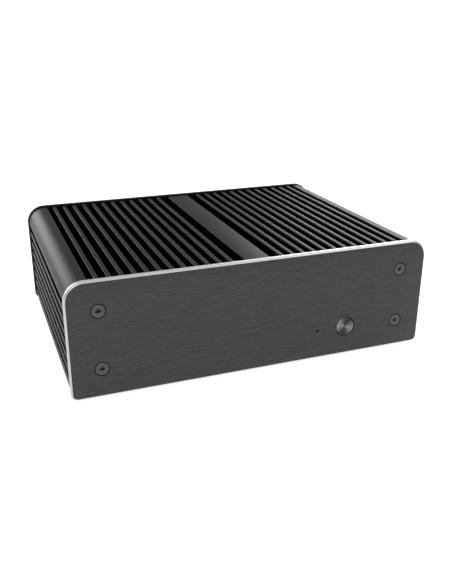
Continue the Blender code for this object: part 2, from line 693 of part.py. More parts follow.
def build_processor_and_block():
    package, spreader = 0.01875, 0.0140
    package_top = ON_BOARD + 0.0022
    top = package_top + 0.0022
    x, y = PROCESSOR_X, PROCESSOR_Y
    low = (x - package, y - package, ON_BOARD)
    chip = box("processor", low, (x + package, y + package, package_top), "steel")
    low = (x - spreader, y - spreader, package_top - GAP)
    fuse(chip, box_cutter(low, (x + spreader, y + spreader, top)))

    flange, column = 0.0420, 0.0280
    flange_bottom = top + GAP
    flange_top = flange_bottom + 0.008
    low = (x - flange, y - flange, flange_bottom)
    block = box("thermal_block", low, (x + flange, y + flange, flange_top), "block_aluminium")
    low = (x - column, y - column, flange_top - 0.001)
    fuse(block, box_cutter(low, (x + column, y + column, CEILING - GAP)))
    tapped = 0.0058
    head = [(0.0, 0.0020), (0.0020, 0.0020), (0.0026, 0.0014), (0.0026, 0.0), (0.0014, 0.0)]
    reach = flange_bottom + tapped - 0.0004 - (BOARD_BOTTOM - GAP)
    shank = [(0.0014, -reach + 0.0003), (0.0011, -reach), (0.0, -reach)]
    mesh = recessed_screw(head + shank, 0.0026, 0.0007, 0.0011)
    names = ("front_left", "rear_left", "front_right", "rear_right")
    for corner, (hole_x, hole_y) in zip(names, cooler_holes()):
        cut(block, rod_cutter(0.0017, 2 * tapped, (hole_x, hole_y, flange_bottom), segments=16))
        place("block_screw_" + corner, mesh, "steel", (hole_x, hole_y, BOARD_BOTTOM - GAP), FACE_DOWN)


SLOT_TOP = ON_BOARD + 0.0085
SLOT_HALF_WIDTH = 0.0035
LATCH_PIVOT_Z = ON_BOARD + 0.0034
MODULE_BOTTOM = ON_BOARD + 0.0025


def build_memory_slot():
    """The slot, with a cheek on both sides of each latch."""
    tower_top = LATCH_PIVOT_Z + 0.0060
    tower_outer = LATCH_PIVOT_REACH + 0.0030
    tower_inner = LATCH_PIVOT_REACH - 0.0040
    x, y = MEMORY_X, MEMORY_MIDDLE_Y
    low = (x - SLOT_HALF_WIDTH, y - tower_inner - 0.001, ON_BOARD)
    high = (x + SLOT_HALF_WIDTH, y + tower_inner + 0.001, SLOT_TOP)
    slot = box("memory_slot", low, high, "plastic_black")
    groove_half = MEMORY_LENGTH / 2 + GAP
    low = (x - 0.00095, y - groove_half, MODULE_BOTTOM - GAP)
    slit = 0.0015
    cutters = [box_cutter(low, (x + 0.00095, y + groove_half, SLOT_TOP + 0.001))]
    for sign in (-1, 1):
        ends = sorted((y + sign * tower_inner, y + sign * tower_outer))
        tower_low = (x - SLOT_HALF_WIDTH, ends[0], ON_BOARD)
        fuse(slot, box_cutter(tower_low, (x + SLOT_HALF_WIDTH, ends[1], tower_top)))
        pivot_y = y + sign * LATCH_PIVOT_REACH
        ends = sorted((pivot_y - sign * 0.00285, y + sign * (tower_outer + 0.001)))
        pocket_low = (x - slit, ends[0], LATCH_PIVOT_Z - 0.0028)
        cutters.append(box_cutter(pocket_low, (x + slit, ends[1], tower_top + 0.001)))
        cutters.append(rod_cutter(0.0012, 0.02, (x, pivot_y, LATCH_PIVOT_Z), ALONG_X, 16))
    cut(slot, *cutters)


def build_memory_latches():
    """Each latch's origin is its pivot. At rest it stands upright, its hook in the module's notch."""
    thickness = 0.0024
    outline = [(-0.0015, -0.0020), (0.0013, -0.0020), (0.0013, 0.0090), (0.0034, 0.0113), (0.0080, 0.0117)]
    outline += [(0.0080, 0.0133), (0.0030, 0.0140), (0.0010, 0.0160), (-0.0030, 0.0170), (-0.0030, 0.0155)]
    outline += [(-0.0015, 0.0130)]
    latch = place("pattern", outline_mesh([outline], thickness), "plastic_ivory")
    fuse(latch, rod_cutter(0.0009, 0.0068, (0.0, 0.0, 0.0), segments=16))
    mesh = bake(latch)
    upright = Matrix.Rotation(math.pi / 2, 4, "Z") @ Matrix.Rotation(math.pi / 2, 4, "X")
    mesh.transform(upright)
    for end, sign, turn in (("front", -1, 0.0), ("rear", 1, math.pi)):
        location = (MEMORY_X, MEMORY_MIDDLE_Y + sign * LATCH_PIVOT_REACH, LATCH_PIVOT_Z)
        place("memory_latch_" + end, mesh, "plastic_ivory", location, (0.0, 0.0, turn))


def build_memory_module():
    half_thickness = 0.000635
    x, y = MEMORY_X, MEMORY_MIDDLE_Y
    half = MEMORY_LENGTH / 2
    low = (x - half_thickness, y - half, MODULE_BOTTOM)
    high = (x + half_thickness, y + half, MODULE_BOTTOM + MEMORY_HEIGHT)
    module = box("memory_module", low, high, "board_dark")
    notch_low, notch_high = LATCH_PIVOT_Z + 0.0110, LATCH_PIVOT_Z + 0.0160
    for sign in (-1, 1):
        ends = sorted((y + sign * (half - 0.0030), y + sign * (half + 0.0030)))
        cut(module, box_cutter((x - 0.002, ends[0], notch_low), (x + 0.002, ends[1], notch_high)))
    chip, pitch, proud = 0.0100, 0.0150, 0.0011
    for index in range(8):
        chip_y = y + (index - 3.5) * pitch
        low = (x - half_thickness - proud, chip_y - chip / 2, MODULE_BOTTOM + 0.0110)
        high = (x + half_thickness + proud, chip_y + chip / 2, MODULE_BOTTOM + 0.0230)
        fuse(module, box_cutter(low, high))


def build_storage():
    half = DRIVE_WIDTH / 2
    low_z, high_z = ON_BOARD + 0.0026, ON_BOARD + 0.0034
    back = DRIVE_FRONT_Y + DRIVE_LENGTH
    x = DRIVE_X
    socket_low = (x - 0.012, back - 0.0025, ON_BOARD)
    socket_high = (x + 0.012, back + 0.0055, ON_BOARD + 0.0042)
    socket = box("storage_socket", socket_low, socket_high, "plastic_black")
    mouth_low = (x - half - GAP, back - 0.004, low_z - GAP)
    cut(socket, box_cutter(mouth_low, (x + half + GAP, back + GAP, high_z + GAP)))

    drive = box("storage_drive", (x - half, DRIVE_FRONT_Y, low_z), (x + half, back, high_z), "board_dark")
    cut(drive, rod_cutter(0.0013, 0.01, (x, DRIVE_FRONT_Y, low_z), segments=20))
    for index, length in enumerate((0.0120, 0.0180, 0.0180)):
        start = DRIVE_FRONT_Y + 0.006 + index * 0.021
        chip_low = (x - 0.0085, start, high_z - GAP)
        fuse(drive, box_cutter(chip_low, (x + 0.0085, start + length, high_z + 0.0012)))

    head = [(0.0, 0.0011), (0.0018, 0.0011), (0.0022, 0.0007), (0.0022, 0.0), (0.0009, 0.0)]
    shank = [(0.0009, -0.0030), (0.0007, -0.0032), (0.0, -0.0032)]
    mesh = recessed_screw(head + shank, 0.0020, 0.0005, 0.0006)
    place("storage_screw", mesh, "steel", (x, DRIVE_FRONT_Y, high_z + GAP))


def build_coin_cell():
    bottom, top = ON_BOARD, ON_BOARD + 0.0032
    profile = [(0.0, top), (0.0090, top), (0.0098, top - 0.0005), (0.0100, top - 0.0010)]
    profile += [(0.0100, bottom + 0.0007), (0.0085, bottom), (0.0, bottom)]
    place("coin_cell", turned_mesh(profile, 24), "steel", (-0.038, -0.058, 0.0))


def port_box(name):
    """The lowest and highest corners of a rear connector's case."""
    x = PORTS[name]["x"]
    width, depth, height = PORTS[name]["size"]
    low = (x - width / 2, PORT_FACE_Y - depth, ON_BOARD)
    high = (x + width / 2, PORT_FACE_Y, ON_BOARD + height)
    return low, high


def port_socket(port, centre, width, height, depth):
    """Cuts a rectangular socket into a rear connector's face, centred on (x, z)."""
    x, z = centre
    low = (x - width / 2, PORT_FACE_Y - depth, z - height / 2)
    return cut(port, box_cutter(low, (x + width / 2, PORT_FACE_Y + 0.001, z + height / 2)))


def port_tongue(port, centre, width, height, socket_depth, recess):
    """Stands a contact tongue in a socket, its tip a little inside the mouth."""
    x, z = centre
    low = (x - width / 2, PORT_FACE_Y - socket_depth - GAP, z - height / 2)
    return fuse(port, box_cutter(low, (x + width / 2, PORT_FACE_Y - recess, z + height / 2)))


def build_ports():
    low, high = port_box("dc_jack")
    jack = box("dc_jack", low, high, "plastic_black")
    centre = (PORTS["dc_jack"]["x"], PORT_FACE_Y, (low[2] + high[2]) / 2)
    cut(jack, rod_cutter(0.0032, 0.018, centre, FACE_REAR))
    pin_length = 0.0085
    pin_middle = (centre[0], PORT_FACE_Y - 0.0093 + pin_length / 2, centre[2])
    fuse(jack, rod_cutter(0.00105, pin_length, pin_middle, FACE_REAR, 16))

    low, high = port_box("video_port")
    middle_z = (low[2] + high[2]) / 2
    video = box("video_port", low, high, "steel")
    x = PORTS["video_port"]["x"]
    port_socket(video, (x, middle_z), 0.0139, 0.0045, 0.0090)
    port_tongue(video, (x, middle_z), 0.0110, 0.0010, 0.0090, 0.0015)

    low, high = port_box("usb_ports")
    usb = box("usb_ports", low, high, "steel")
    x = PORTS["usb_ports"]["x"]
    for level in (0.25, 0.75):
        z = low[2] + level * (high[2] - low[2])
        port_socket(usb, (x, z), 0.0125, 0.0051, 0.0120)
        port_tongue(usb, (x, z + 0.0009), 0.0112, 0.0018, 0.0120, 0.0010)

    low, high = port_box("lan_port")
    lan = box("lan_port", low, high, "steel")
    x = PORTS["lan_port"]["x"]
    port_socket(lan, (x, low[2] + 0.0055), 0.0120, 0.0082, 0.0120)
    port_socket(lan, (x, low[2] + 0.0105), 0.0060, 0.0030, 0.0120)

    low, high = port_box("audio_jacks")
    audio = box("audio_jacks", low, (high[0], high[1] - 0.0012, high[2]), "plastic_black")
    x = PORTS["audio_jacks"]["x"]
    for index in range(3):
        z = low[2] + 0.0058 + index * 0.0102
        fuse(audio, rod_cutter(0.0040, 0.0020, (x, PORT_FACE_Y - 0.0010, z), FACE_REAR))
        cut(audio, rod_cutter(0.0018, 0.022, (x, PORT_FACE_Y, z), FACE_REAR))


def build_io_shield():
    """A shallow tray set in the rear panel's aperture, open towards the board."""
    half = APERTURE_WIDTH / 2 - GAP
    bottom, top = APERTURE_BOTTOM + GAP, APERTURE_BOTTOM + APERTURE_HEIGHT - GAP
    outer, sheet, inner = REAR_Y - 0.0008, 0.0008, REAR_Y - 0.0028
    shield = box("io_shield", (-half, inner, bottom), (half, outer, top), "steel")
    low = (-half + sheet, inner - 0.001, bottom + sheet)
    cut(shield, box_cutter(low, (half - sheet, outer - sheet, top - sheet)))
    for name in PORTS:
        low, high = port_box(name)
        low = (low[0] - GAP, REAR_Y - 0.01, low[2] - GAP)
        cut(shield, box_cutter(low, (high[0] + GAP, REAR_Y + 0.01, high[2] + GAP)))


build_top_heat_sink()
build_side_profiles()
build_front_panel()
build_rear_panel()
build_bottom_cover()
build_feet()
build_panel_screws()
build_cover_screws()
build_power_button()
build_button_frame()
build_button_spring()
build_switch_board()
build_button_lead()
build_mainboard()
build_board_mounting()
build_processor_and_block()
build_memory_slot()
build_memory_latches()
build_memory_module()
build_storage()
build_coin_cell()
build_ports()
build_io_shield()
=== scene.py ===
"""The looks of the fanless mini PC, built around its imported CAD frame.

Metres, +Z up, in the frame's own axes: the front panel faces -Y and the feet stand on Z = 0.
"""

import json
import math

import bmesh
import bpy
from mathutils import Matrix, Vector


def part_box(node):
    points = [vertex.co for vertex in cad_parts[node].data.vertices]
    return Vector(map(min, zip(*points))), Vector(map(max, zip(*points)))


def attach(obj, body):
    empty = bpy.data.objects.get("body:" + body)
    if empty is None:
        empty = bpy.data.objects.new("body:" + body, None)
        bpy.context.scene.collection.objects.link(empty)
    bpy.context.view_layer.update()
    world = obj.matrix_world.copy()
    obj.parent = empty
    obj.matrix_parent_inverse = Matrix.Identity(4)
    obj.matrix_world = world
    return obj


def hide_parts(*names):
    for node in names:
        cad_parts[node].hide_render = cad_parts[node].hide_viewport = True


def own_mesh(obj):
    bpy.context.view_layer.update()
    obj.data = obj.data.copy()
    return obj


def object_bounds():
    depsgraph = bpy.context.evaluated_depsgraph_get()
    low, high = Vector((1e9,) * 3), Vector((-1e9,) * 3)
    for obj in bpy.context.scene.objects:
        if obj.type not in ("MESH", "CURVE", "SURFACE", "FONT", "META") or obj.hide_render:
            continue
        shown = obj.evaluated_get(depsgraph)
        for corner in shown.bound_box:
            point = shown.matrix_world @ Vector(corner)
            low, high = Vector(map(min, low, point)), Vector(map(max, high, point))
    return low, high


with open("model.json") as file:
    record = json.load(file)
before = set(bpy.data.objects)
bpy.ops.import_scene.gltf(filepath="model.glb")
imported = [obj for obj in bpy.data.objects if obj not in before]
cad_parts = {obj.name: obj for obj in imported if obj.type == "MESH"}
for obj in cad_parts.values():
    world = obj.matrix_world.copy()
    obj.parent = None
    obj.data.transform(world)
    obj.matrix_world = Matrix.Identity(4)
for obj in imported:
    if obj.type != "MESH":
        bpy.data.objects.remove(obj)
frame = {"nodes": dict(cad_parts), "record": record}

CAD_BOX = [list(corner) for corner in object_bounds()]

# Sizes that the CAD model was made with
GAP = 0.0003
FIN_THICKNESS = 0.00275
TOP_FIN_DEPTH = 0.009
TOP_FIN_FIRST = 0.01675
TOP_FIN_PITCH = 0.00753
TOP_FIN_COUNT = 12
STRIP_HALF_WIDTH = 0.00825
CORNER_BLOCK_X = 0.105
SIDE_FIN_DEPTH = 0.008
SIDE_FIN_LOWEST = 0.0151
SIDE_FIN_PITCH = 0.0078
SIDE_FIN_COUNT = 6
SIDE_BLOCK_HEIGHT = 0.0612
RAIL_HEIGHT = 0.0085
WALL = 0.004
BOSS_RADIUS = 0.0043
THREAD_BORE = 0.0022
SEAM_X = 0.103
TONGUE_REACH = 0.0025
TONGUE_HEIGHTS = (0.0012, 0.0028)
PANEL_TOP_RADIUS = 0.0125
PANEL_BOTTOM_RADIUS = 0.0041
PANEL_SCREW_X = 0.1007
PANEL_SCREW_HEIGHTS = (0.0186, 0.0556)
FRONT_CHAMFER = 0.0011
REAR_CHAMFER = 0.0003
BUTTON_X = 0.062
LED_X = 0.0412
BUTTON_HEIGHT = 0.0198

# Small rounded edges that the CAD model leaves sharp
FIN_TIP_RADIUS = 0.0006
FIN_ROOT_RADIUS = 0.0007
SEAM_EDGE_RADIUS = 0.0002
RAIL_EDGE_RADIUS = 0.0004
BODY_CORNER_STEPS = 5

# Boxes read from the frame
FRONT_LOW, FRONT_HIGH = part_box("front_panel")
REAR_LOW, REAR_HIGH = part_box("rear_panel")
SIDE_LOW, SIDE_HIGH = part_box("side_profile_right")
FRONT_Y = FRONT_LOW.y
REAR_Y = REAR_HIGH.y
PANEL_BOTTOM = FRONT_LOW.z
PANEL_TOP = FRONT_HIGH.z
PANEL_HALF_WIDTH = FRONT_HIGH.x
PANEL_THICKNESS = FRONT_HIGH.y - FRONT_LOW.y
BUTTON_Z = PANEL_BOTTOM + BUTTON_HEIGHT

# Where a piece's own +Z axis points: rotations about X, Y and Z
FACE_UP = (0.0, 0.0, 0.0)
FACE_FRONT = (math.pi / 2, 0.0, 0.0)
FACE_REAR = (-math.pi / 2, 0.0, 0.0)
FACE_DOWN = (math.pi, 0.0, 0.0)
ORIGIN = (0.0, 0.0, 0.0)

# Turns an outline drawn in the XY plane up into the XZ plane
UPRIGHT = Matrix.Rotation(math.pi / 2, 4, "X")


# ---- materials


# The two bright wedges of painted highlight on turned metal lie along this axis of the piece
PAINTED_HIGHLIGHT_ANGLE = math.radians(-18.0)
PAINTED_HIGHLIGHT_AXIS = (math.cos(PAINTED_HIGHLIGHT_ANGLE), math.sin(PAINTED_HIGHLIGHT_ANGLE), 0.0)
PAINTED_HIGHLIGHT_SHARPNESS = 3.0


class Finish:
    """A Principled material whose patterns follow the piece's own coordinates."""

    def __init__(self, name, colour, roughness, metallic=0.0):
        self.material = bpy.data.materials.new(name)
        self.material.use_nodes = True
        self.tree = self.material.node_tree
        self.shader = self.tree.nodes["Principled BSDF"]
        self.place = self.tree.nodes.new("ShaderNodeTexCoord").outputs["Object"]
        self.normal = None
        self.set("Base Color", (*colour, 1.0))
        self.set("Roughness", roughness)
        self.set("Metallic", metallic)

    def set(self, socket, value):
        self.shader.inputs[socket].default_value = value

    def link(self, output, target):
        self.tree.links.new(output, target)

    def node(self, kind, socket, pattern, **values):
        """Adds a node that reads a pattern, and sets its other sockets, with _ for a space."""
        node = self.tree.nodes.new("ShaderNode" + kind)
        self.link(pattern, node.inputs[socket])
        for name, value in values.items():
            node.inputs[name.replace("_", " ")].default_value = value
        return node

    def noise(self, scale, detail=2.0):
        """Noise with a scale in cycles a metre, or one for each axis that stretches it."""
        scales = scale if isinstance(scale, tuple) else (scale,) * 3
        place = self.node("Mapping", "Vector", self.place, Scale=scales).outputs["Vector"]
        return self.node("TexNoise", "Vector", place, Scale=1.0, Detail=detail).outputs[0]

    def rings(self, per_metre, distortion):
        """Rings about the piece's own Z axis."""
        wave = self.node("TexWave", "Vector", self.place, Scale=per_metre, Distortion=distortion)
        wave.wave_type = "RINGS"
        wave.rings_direction = "Z"
        return wave.outputs["Fac"]

    def painted_highlight_wedges(self):
        """Two opposite wedges of painted highlight about the piece's own Z axis: 1 along the axis above, 0
        across it.
        """
        flat = self.step("VectorMath", "MULTIPLY", self.place, (1.0, 1.0, 0.0))
        direction = self.step("VectorMath", "NORMALIZE", flat.outputs[0])
        along = self.step("VectorMath", "DOT_PRODUCT", direction.outputs[0], PAINTED_HIGHLIGHT_AXIS)
        either_way = self.step("Math", "ABSOLUTE", along.outputs["Value"])
        return self.step("Math", "POWER", either_way.outputs[0], PAINTED_HIGHLIGHT_SHARPNESS).outputs[0]

    def step(self, kind, operation, value, second=None):
        """One operation on a pattern, with a fixed second operand where it takes one."""
        node = self.node(kind, 0, value)
        node.operation = operation
        if second:
            node.inputs[1].default_value = second
        return node

    def spread(self, pattern, low, high, start=0.3, end=0.7):
        """Maps start to end of a pattern onto low to high."""
        limits = {"From_Min": start, "From_Max": end, "To_Min": low, "To_Max": high}
        return self.node("MapRange", "Value", pattern, **limits).outputs["Result"]

    def blend(self, pattern, first, second, start=0.3, end=0.7):
        """Goes from one colour to another as a pattern goes from start to end."""
        share = self.spread(pattern, 0.0, 1.0, start, end)
        return self.mix(share, (*first, 1.0), (*second, 1.0))

    def mix(self, share, first, second):
        """Mixes two colours by a share; each of the three is a value or a pattern."""
        node = self.tree.nodes.new("ShaderNodeMix")
        node.data_type = "RGBA"
        colours = [socket for socket in node.inputs if socket.type == "RGBA"]
        for socket, value in zip([node.inputs["Factor"], *colours], (share, first, second)):
            if isinstance(value, bpy.types.NodeSocket):
                self.link(value, socket)
            else:
                socket.default_value = value
        return [socket for socket in node.outputs if socket.type == "RGBA"][0]

    def colour(self, pattern, first, second, start=0.3, end=0.7):
        """Lets the base colour follow a pattern."""
        self.link(self.blend(pattern, first, second, start, end), self.shader.inputs["Base Color"])

    def roughness(self, pattern, low, high):
        """Lets the roughness follow a pattern."""
        self.link(self.spread(pattern, low, high), self.shader.inputs["Roughness"])

    def bump(self, pattern, distance):
        """Raises the surface by up to distance, on top of earlier bumps."""
        node = self.node("Bump", "Height", pattern, Distance=distance)
        if self.normal:
            self.link(self.normal, node.inputs["Normal"])
        self.normal = node.outputs["Normal"]
        self.link(self.normal, self.shader.inputs["Normal"])


def dimmed(colour, share):
    return tuple(channel * share for channel in colour)


def anodised(name, dark, light, roughness, edge_tint=0.6):
    """Anodised extrusion: a fine blasted grain over faint lines along the extrusion."""
    finish = Finish(name, dark, roughness, 1.0)
    finish.set("Specular Tint", (edge_tint, edge_tint, edge_tint, 1.0))
    lines = finish.noise((1500.0, 6.0, 1500.0), 3.0)
    grain = finish.noise(4500.0)
    cloud = finish.noise((18.0, 9.0, 18.0), 3.0)
    finish.colour(cloud, dark, light)
    finish.roughness(lines, roughness - 0.02, roughness + 0.02)
    finish.bump(lines, 0.000003)
    finish.bump(grain, 0.000006)
    return finish.material


def brushed_panel(name):
    """Dark grey anodised plate, brushed from side to side: long hairs among short dashes."""
    finish = Finish(name, (0.047, 0.047, 0.048), 0.38, 1.0)
    hairs = finish.noise((60.0, 1.0, 2100.0), 1.0)
    dashes = finish.noise((300.0, 1.0, 2300.0), 1.0)
    hair_colour = finish.blend(hairs, (0.030, 0.030, 0.031), (0.067, 0.067, 0.068))
    dash_colour = finish.blend(dashes, (0.037, 0.037, 0.038), (0.061, 0.061, 0.062))
    finish.link(finish.mix(0.5, hair_colour, dash_colour), finish.shader.inputs["Base Color"])
    finish.roughness(hairs, 0.32, 0.46)
    finish.bump(hairs, 0.000007)
    return finish.material


def grained(name, dark, light, low, high, cloud, grain, depth, metallic=0.0):
    """A colour that drifts with one noise, and roughness and fine bumps that follow another."""
    finish = Finish(name, dark, low, metallic)
    finish.colour(finish.noise(*cloud), dark, light)
    fine = finish.noise(*grain)
    finish.roughness(fine, low, high)
    finish.bump(fine, depth)
    return finish.material


def bare_aluminium(name, colour, roughness):
    """Cut aluminium with the faint marks of its cutter."""
    marks = ((900.0, 2600.0, 900.0), 3.0)
    low, high = roughness - 0.06, roughness + 0.08
    return grained(name, dimmed(colour, 0.93), colour, low, high, marks, marks, 0.000006, 1.0)


def spun_metal(name, dark, light, roughness, rings_per_metre, ring_depth, with_painted_highlight=False):
    """Metal with fine turned rings; where it has the painted highlight, two bright wedges painted into its
    colour replace the rings.
    """
    finish = Finish(name, light, roughness, 1.0)
    tangent = finish.tree.nodes.new("ShaderNodeTangent")
    tangent.direction_type = "RADIAL"
    tangent.axis = "Z"
    finish.link(tangent.outputs["Tangent"], finish.shader.inputs["Tangent"])
    finish.set("Anisotropic", 0.85)
    rings = finish.rings(rings_per_metre, 1.5)
    wear = finish.noise(900.0, 3.0)
    # With the painted highlight, the wedges take the colour from dark to light in place of the rings
    pattern = finish.painted_highlight_wedges() if with_painted_highlight else rings
    finish.colour(pattern, dark, light, 0.0, 1.0)
    finish.roughness(wear, roughness - 0.06, roughness + 0.06)
    finish.bump(rings, ring_depth)
    return finish.material


def plated_steel(name, colour=(0.40, 0.40, 0.395), roughness=0.30):
    """Nickel or tin plated sheet with a faint mottle."""
    finish = Finish(name, colour, roughness, 1.0)
    mottle = finish.noise(320.0, 4.0)
    lines = finish.noise((40.0, 2600.0, 2600.0), 2.0)
    finish.colour(mottle, dimmed(colour, 0.86), colour)
    finish.roughness(mottle, roughness - 0.07, roughness + 0.10)
    finish.bump(lines, 0.000004)
    return finish.material


def moulded_plastic(name, dark, light, roughness=0.5):
    """Injection moulded plastic with a fine spark-eroded grain."""
    return grained(name, dark, light, roughness - 0.06, roughness + 0.08, (60.0,), (3800.0,), 0.00001)


def dusty_rubber(name):
    """Matt black rubber with a little dust."""
    dark, light = (0.013, 0.013, 0.014), (0.026, 0.026, 0.027)
    return grained(name, dark, light, 0.74, 0.92, (240.0, 4.0), (2400.0, 3.0), 0.00003)


def solder_mask(name):
    """Circuit board: dark mask over a faint pattern of copper tracks."""
    finish = Finish(name, (0.010, 0.030, 0.019), 0.30)
    bare, track = (0.008, 0.024, 0.015), (0.016, 0.052, 0.031)
    along_x = finish.noise((60.0, 1500.0, 1.0), 0.0)
    along_y = finish.noise((1500.0, 60.0, 1.0), 0.0)
    tracks_x = finish.blend(along_x, bare, track, 0.49, 0.53)
    tracks_y = finish.blend(along_y, bare, track, 0.49, 0.53)
    finish.link(finish.mix(0.5, tracks_x, tracks_y), finish.shader.inputs["Base Color"])
    finish.roughness(finish.noise((70.0, 70.0, 1.0)), 0.24, 0.36)
    finish.bump(finish.spread(along_x, 0.0, 1.0, 0.49, 0.53), 0.00002)
    return finish.material


def clear_moulding(name):
    """Hazy moulded plastic that light shines through when it is lit."""
    haze = (700.0,)
    return grained(name, (0.74, 0.80, 0.90), (0.86, 0.90, 0.95), 0.10, 0.24, haze, haze, 0.0)


BLACK_ANODISED = anodised("black_anodised", (0.024, 0.024, 0.025), (0.030, 0.030, 0.031), 0.40)
# Painted shade: the walls and floors between the fins get a far darker colour than the fin tips
GAP_PAINTED_SHADE = anodised("gap_painted_shade", (0.006, 0.006, 0.007), (0.010, 0.010, 0.011), 0.50, 0.30)
REAR_ANODISED = anodised("rear_anodised", (0.026, 0.026, 0.027), (0.032, 0.032, 0.033), 0.40)
COVER_ANODISED = anodised("cover_anodised", (0.028, 0.028, 0.029), (0.035, 0.035, 0.036), 0.45)
GREY_BRUSHED = brushed_panel("grey_brushed")
BARE_EDGE = bare_aluminium("bare_edge", (0.47, 0.475, 0.48), 0.40)
SCREW_DARK = spun_metal("screw_dark", (0.068, 0.068, 0.069), (0.088, 0.088, 0.090), 0.36, 1400.0, 0.000004)
# The button's dish and rim: two bright wedges of painted highlight in the colour, dark across them
BUTTON_SPUN_PAINTED_HIGHLIGHT = spun_metal(
    "button_spun_painted_highlight", (0.034, 0.034, 0.035), (0.17, 0.17, 0.172), 0.34, 2200.0, 0.000002, with_painted_highlight=True
)
BUTTON_RIM_PAINTED_HIGHLIGHT = spun_metal(
    "button_rim_painted_highlight", (0.045, 0.045, 0.046), (0.26, 0.26, 0.262), 0.30, 2200.0, 0.000002, with_painted_highlight=True
)
PLATED = plated_steel("plated_steel")
BRASS = plated_steel("turned_brass", (0.72, 0.52, 0.22), 0.26)
GOLD = plated_steel("gold_contact", (0.93, 0.70, 0.30), 0.22)
MILLED = bare_aluminium("milled_aluminium", (0.78, 0.785, 0.79), 0.36)
BLACK_PLASTIC = moulded_plastic("black_plastic", (0.014, 0.014, 0.015), (0.024, 0.024, 0.025))
IVORY_PLASTIC = moulded_plastic("ivory_plastic", (0.62, 0.60, 0.52), (0.72, 0.70, 0.62), 0.42)
BLUE_PLASTIC = moulded_plastic("blue_plastic", (0.010, 0.060, 0.260), (0.016, 0.085, 0.330), 0.38)
LIME_PLASTIC = moulded_plastic("lime_plastic", (0.20, 0.42, 0.06), (0.26, 0.50, 0.09), 0.40)
PINK_PLASTIC = moulded_plastic("pink_plastic", (0.55, 0.14, 0.20), (0.62, 0.18, 0.25), 0.40)
RUBBER = dusty_rubber("rubber")
BOARD = solder_mask("solder_mask")
CLEAR = clear_moulding("clear_moulding")

BY_SLOT = {
    "body_black": BLACK_ANODISED,
    "front_grey": GREY_BRUSHED,
    "rear_black": REAR_ANODISED,
    "cover_black": COVER_ANODISED,
    "rubber_black": RUBBER,
    "screw_grey": SCREW_DARK,
    "button_silver": BUTTON_SPUN_PAINTED_HIGHLIGHT,
    "steel": PLATED,
    "plastic_black": BLACK_PLASTIC,
    "plastic_ivory": IVORY_PLASTIC,
    "board_dark": BOARD,
    "block_aluminium": MILLED,
    "led_clear": CLEAR,
    "brass": BRASS,
}
SLOT_OF = {entry["node"]: entry["material_slot"] for entry in frame["record"]["subparts"]}


def finish_cad_nodes():
    """Gives every CAD node the material of its slot."""
    for node, obj in frame["nodes"].items():
        obj.data.materials.clear()
        obj.data.materials.append(BY_SLOT[SLOT_OF[node]])


# ---- shapes


def arc(centre, radius, start_degrees, end_degrees, steps):
    """Points along an arc, its ends included."""
    sweep = end_degrees - start_degrees
    angles = [math.radians(start_degrees + sweep * step / steps) for step in range(steps + 1)]
    return [(centre[0] + radius * math.cos(a), centre[1] + radius * math.sin(a)) for a in angles]


def circle(centre, radius, steps):
    return arc(centre, radius, 0.0, 360.0, steps)[:-1]


def rounded(points, steps=3):
    """Rounds the corners of a closed outline at those of its points that have a radius."""
    outline = []
    for index, (x, y, *radius) in enumerate(points):
        corner = Vector((x, y))
        if not radius:
            outline.append((x, y))
            continue
        before = Vector(points[index - 1][:2]) - corner
        after = Vector(points[(index + 1) % len(points)][:2]) - corner
        reach = radius[0] / math.tan(before.angle(after) / 2)
        start = corner + before.normalized() * reach
        end = corner + after.normalized() * reach
        for step in range(steps + 1):
            t = step / steps
            point = start * (1 - t) ** 2 + corner * (2 * t * (1 - t)) + end * t * t
            outline.append(tuple(point))
    return outline


def mesh_from(bm):
    """Turns a bmesh into a mesh and frees it."""
    mesh = bpy.data.meshes.new("shape")
    bm.to_mesh(mesh)
    bm.free()
    return mesh


def evaluated_mesh(obj):
    """The object's mesh with its modifiers applied; the object is removed."""
    graph = bpy.context.evaluated_depsgraph_get()
    mesh = bpy.data.meshes.new_from_object(obj.evaluated_get(graph))
    bpy.data.objects.remove(obj, do_unlink=True)
    return mesh


def scratch(data):
    """A passing object that a modifier or the evaluation needs."""
    obj = bpy.data.objects.new("scratch", data)
    bpy.context.scene.collection.objects.link(obj)
    return obj


def curve_mesh(curve, runs, cyclic):
    """The mesh of a curve along runs of points, with its loose caps welded on."""
    for run in runs:
        spline = curve.splines.new("POLY")
        spline.points.add(len(run) - 1)
        for point, place in zip(spline.points, run):
            point.co = (*place, 1.0)
        spline.use_cyclic_u = cyclic
    mesh = evaluated_mesh(scratch(curve))
    bpy.data.curves.remove(curve)
    bm = bmesh.new()
    bm.from_mesh(mesh)
    bmesh.ops.remove_doubles(bm, verts=bm.verts, dist=0.0000005)
    bmesh.ops.recalc_face_normals(bm, faces=bm.faces)
    bm.to_mesh(mesh)
    bm.free()
    return mesh


def outline_mesh(loops, thickness):
    """A flat outline with holes, in its own XY plane, with thickness along Z."""
    curve = bpy.data.curves.new("outline", "CURVE")
    curve.dimensions = "2D"
    curve.fill_mode = "BOTH"
    curve.extrude = thickness / 2
    return curve_mesh(curve, [[(x, y, 0.0) for x, y in loop] for loop in loops], cyclic=True)


def turned_mesh(profile, segments=64):
    """(radius, height) points turned about Z, from the top down the outer side."""
    bm = bmesh.new()
    turns = [2 * math.pi * step / segments for step in range(segments)]
    rings = []
    for radius, height in profile:
        places = [(radius * math.cos(a), radius * math.sin(a), height) for a in turns]
        if not radius:
            places = [(0.0, 0.0, height)]
        rings.append([bm.verts.new(place) for place in places])
    for upper, lower in zip(rings, rings[1:]):
        for i in range(segments):
            j = (i + 1) % segments
            corners = [upper[i % len(upper)], lower[i % len(lower)]]
            corners += [lower[j % len(lower)], upper[j % len(upper)]]
            bm.faces.new(list(dict.fromkeys(corners)))
    return mesh_from(bm)


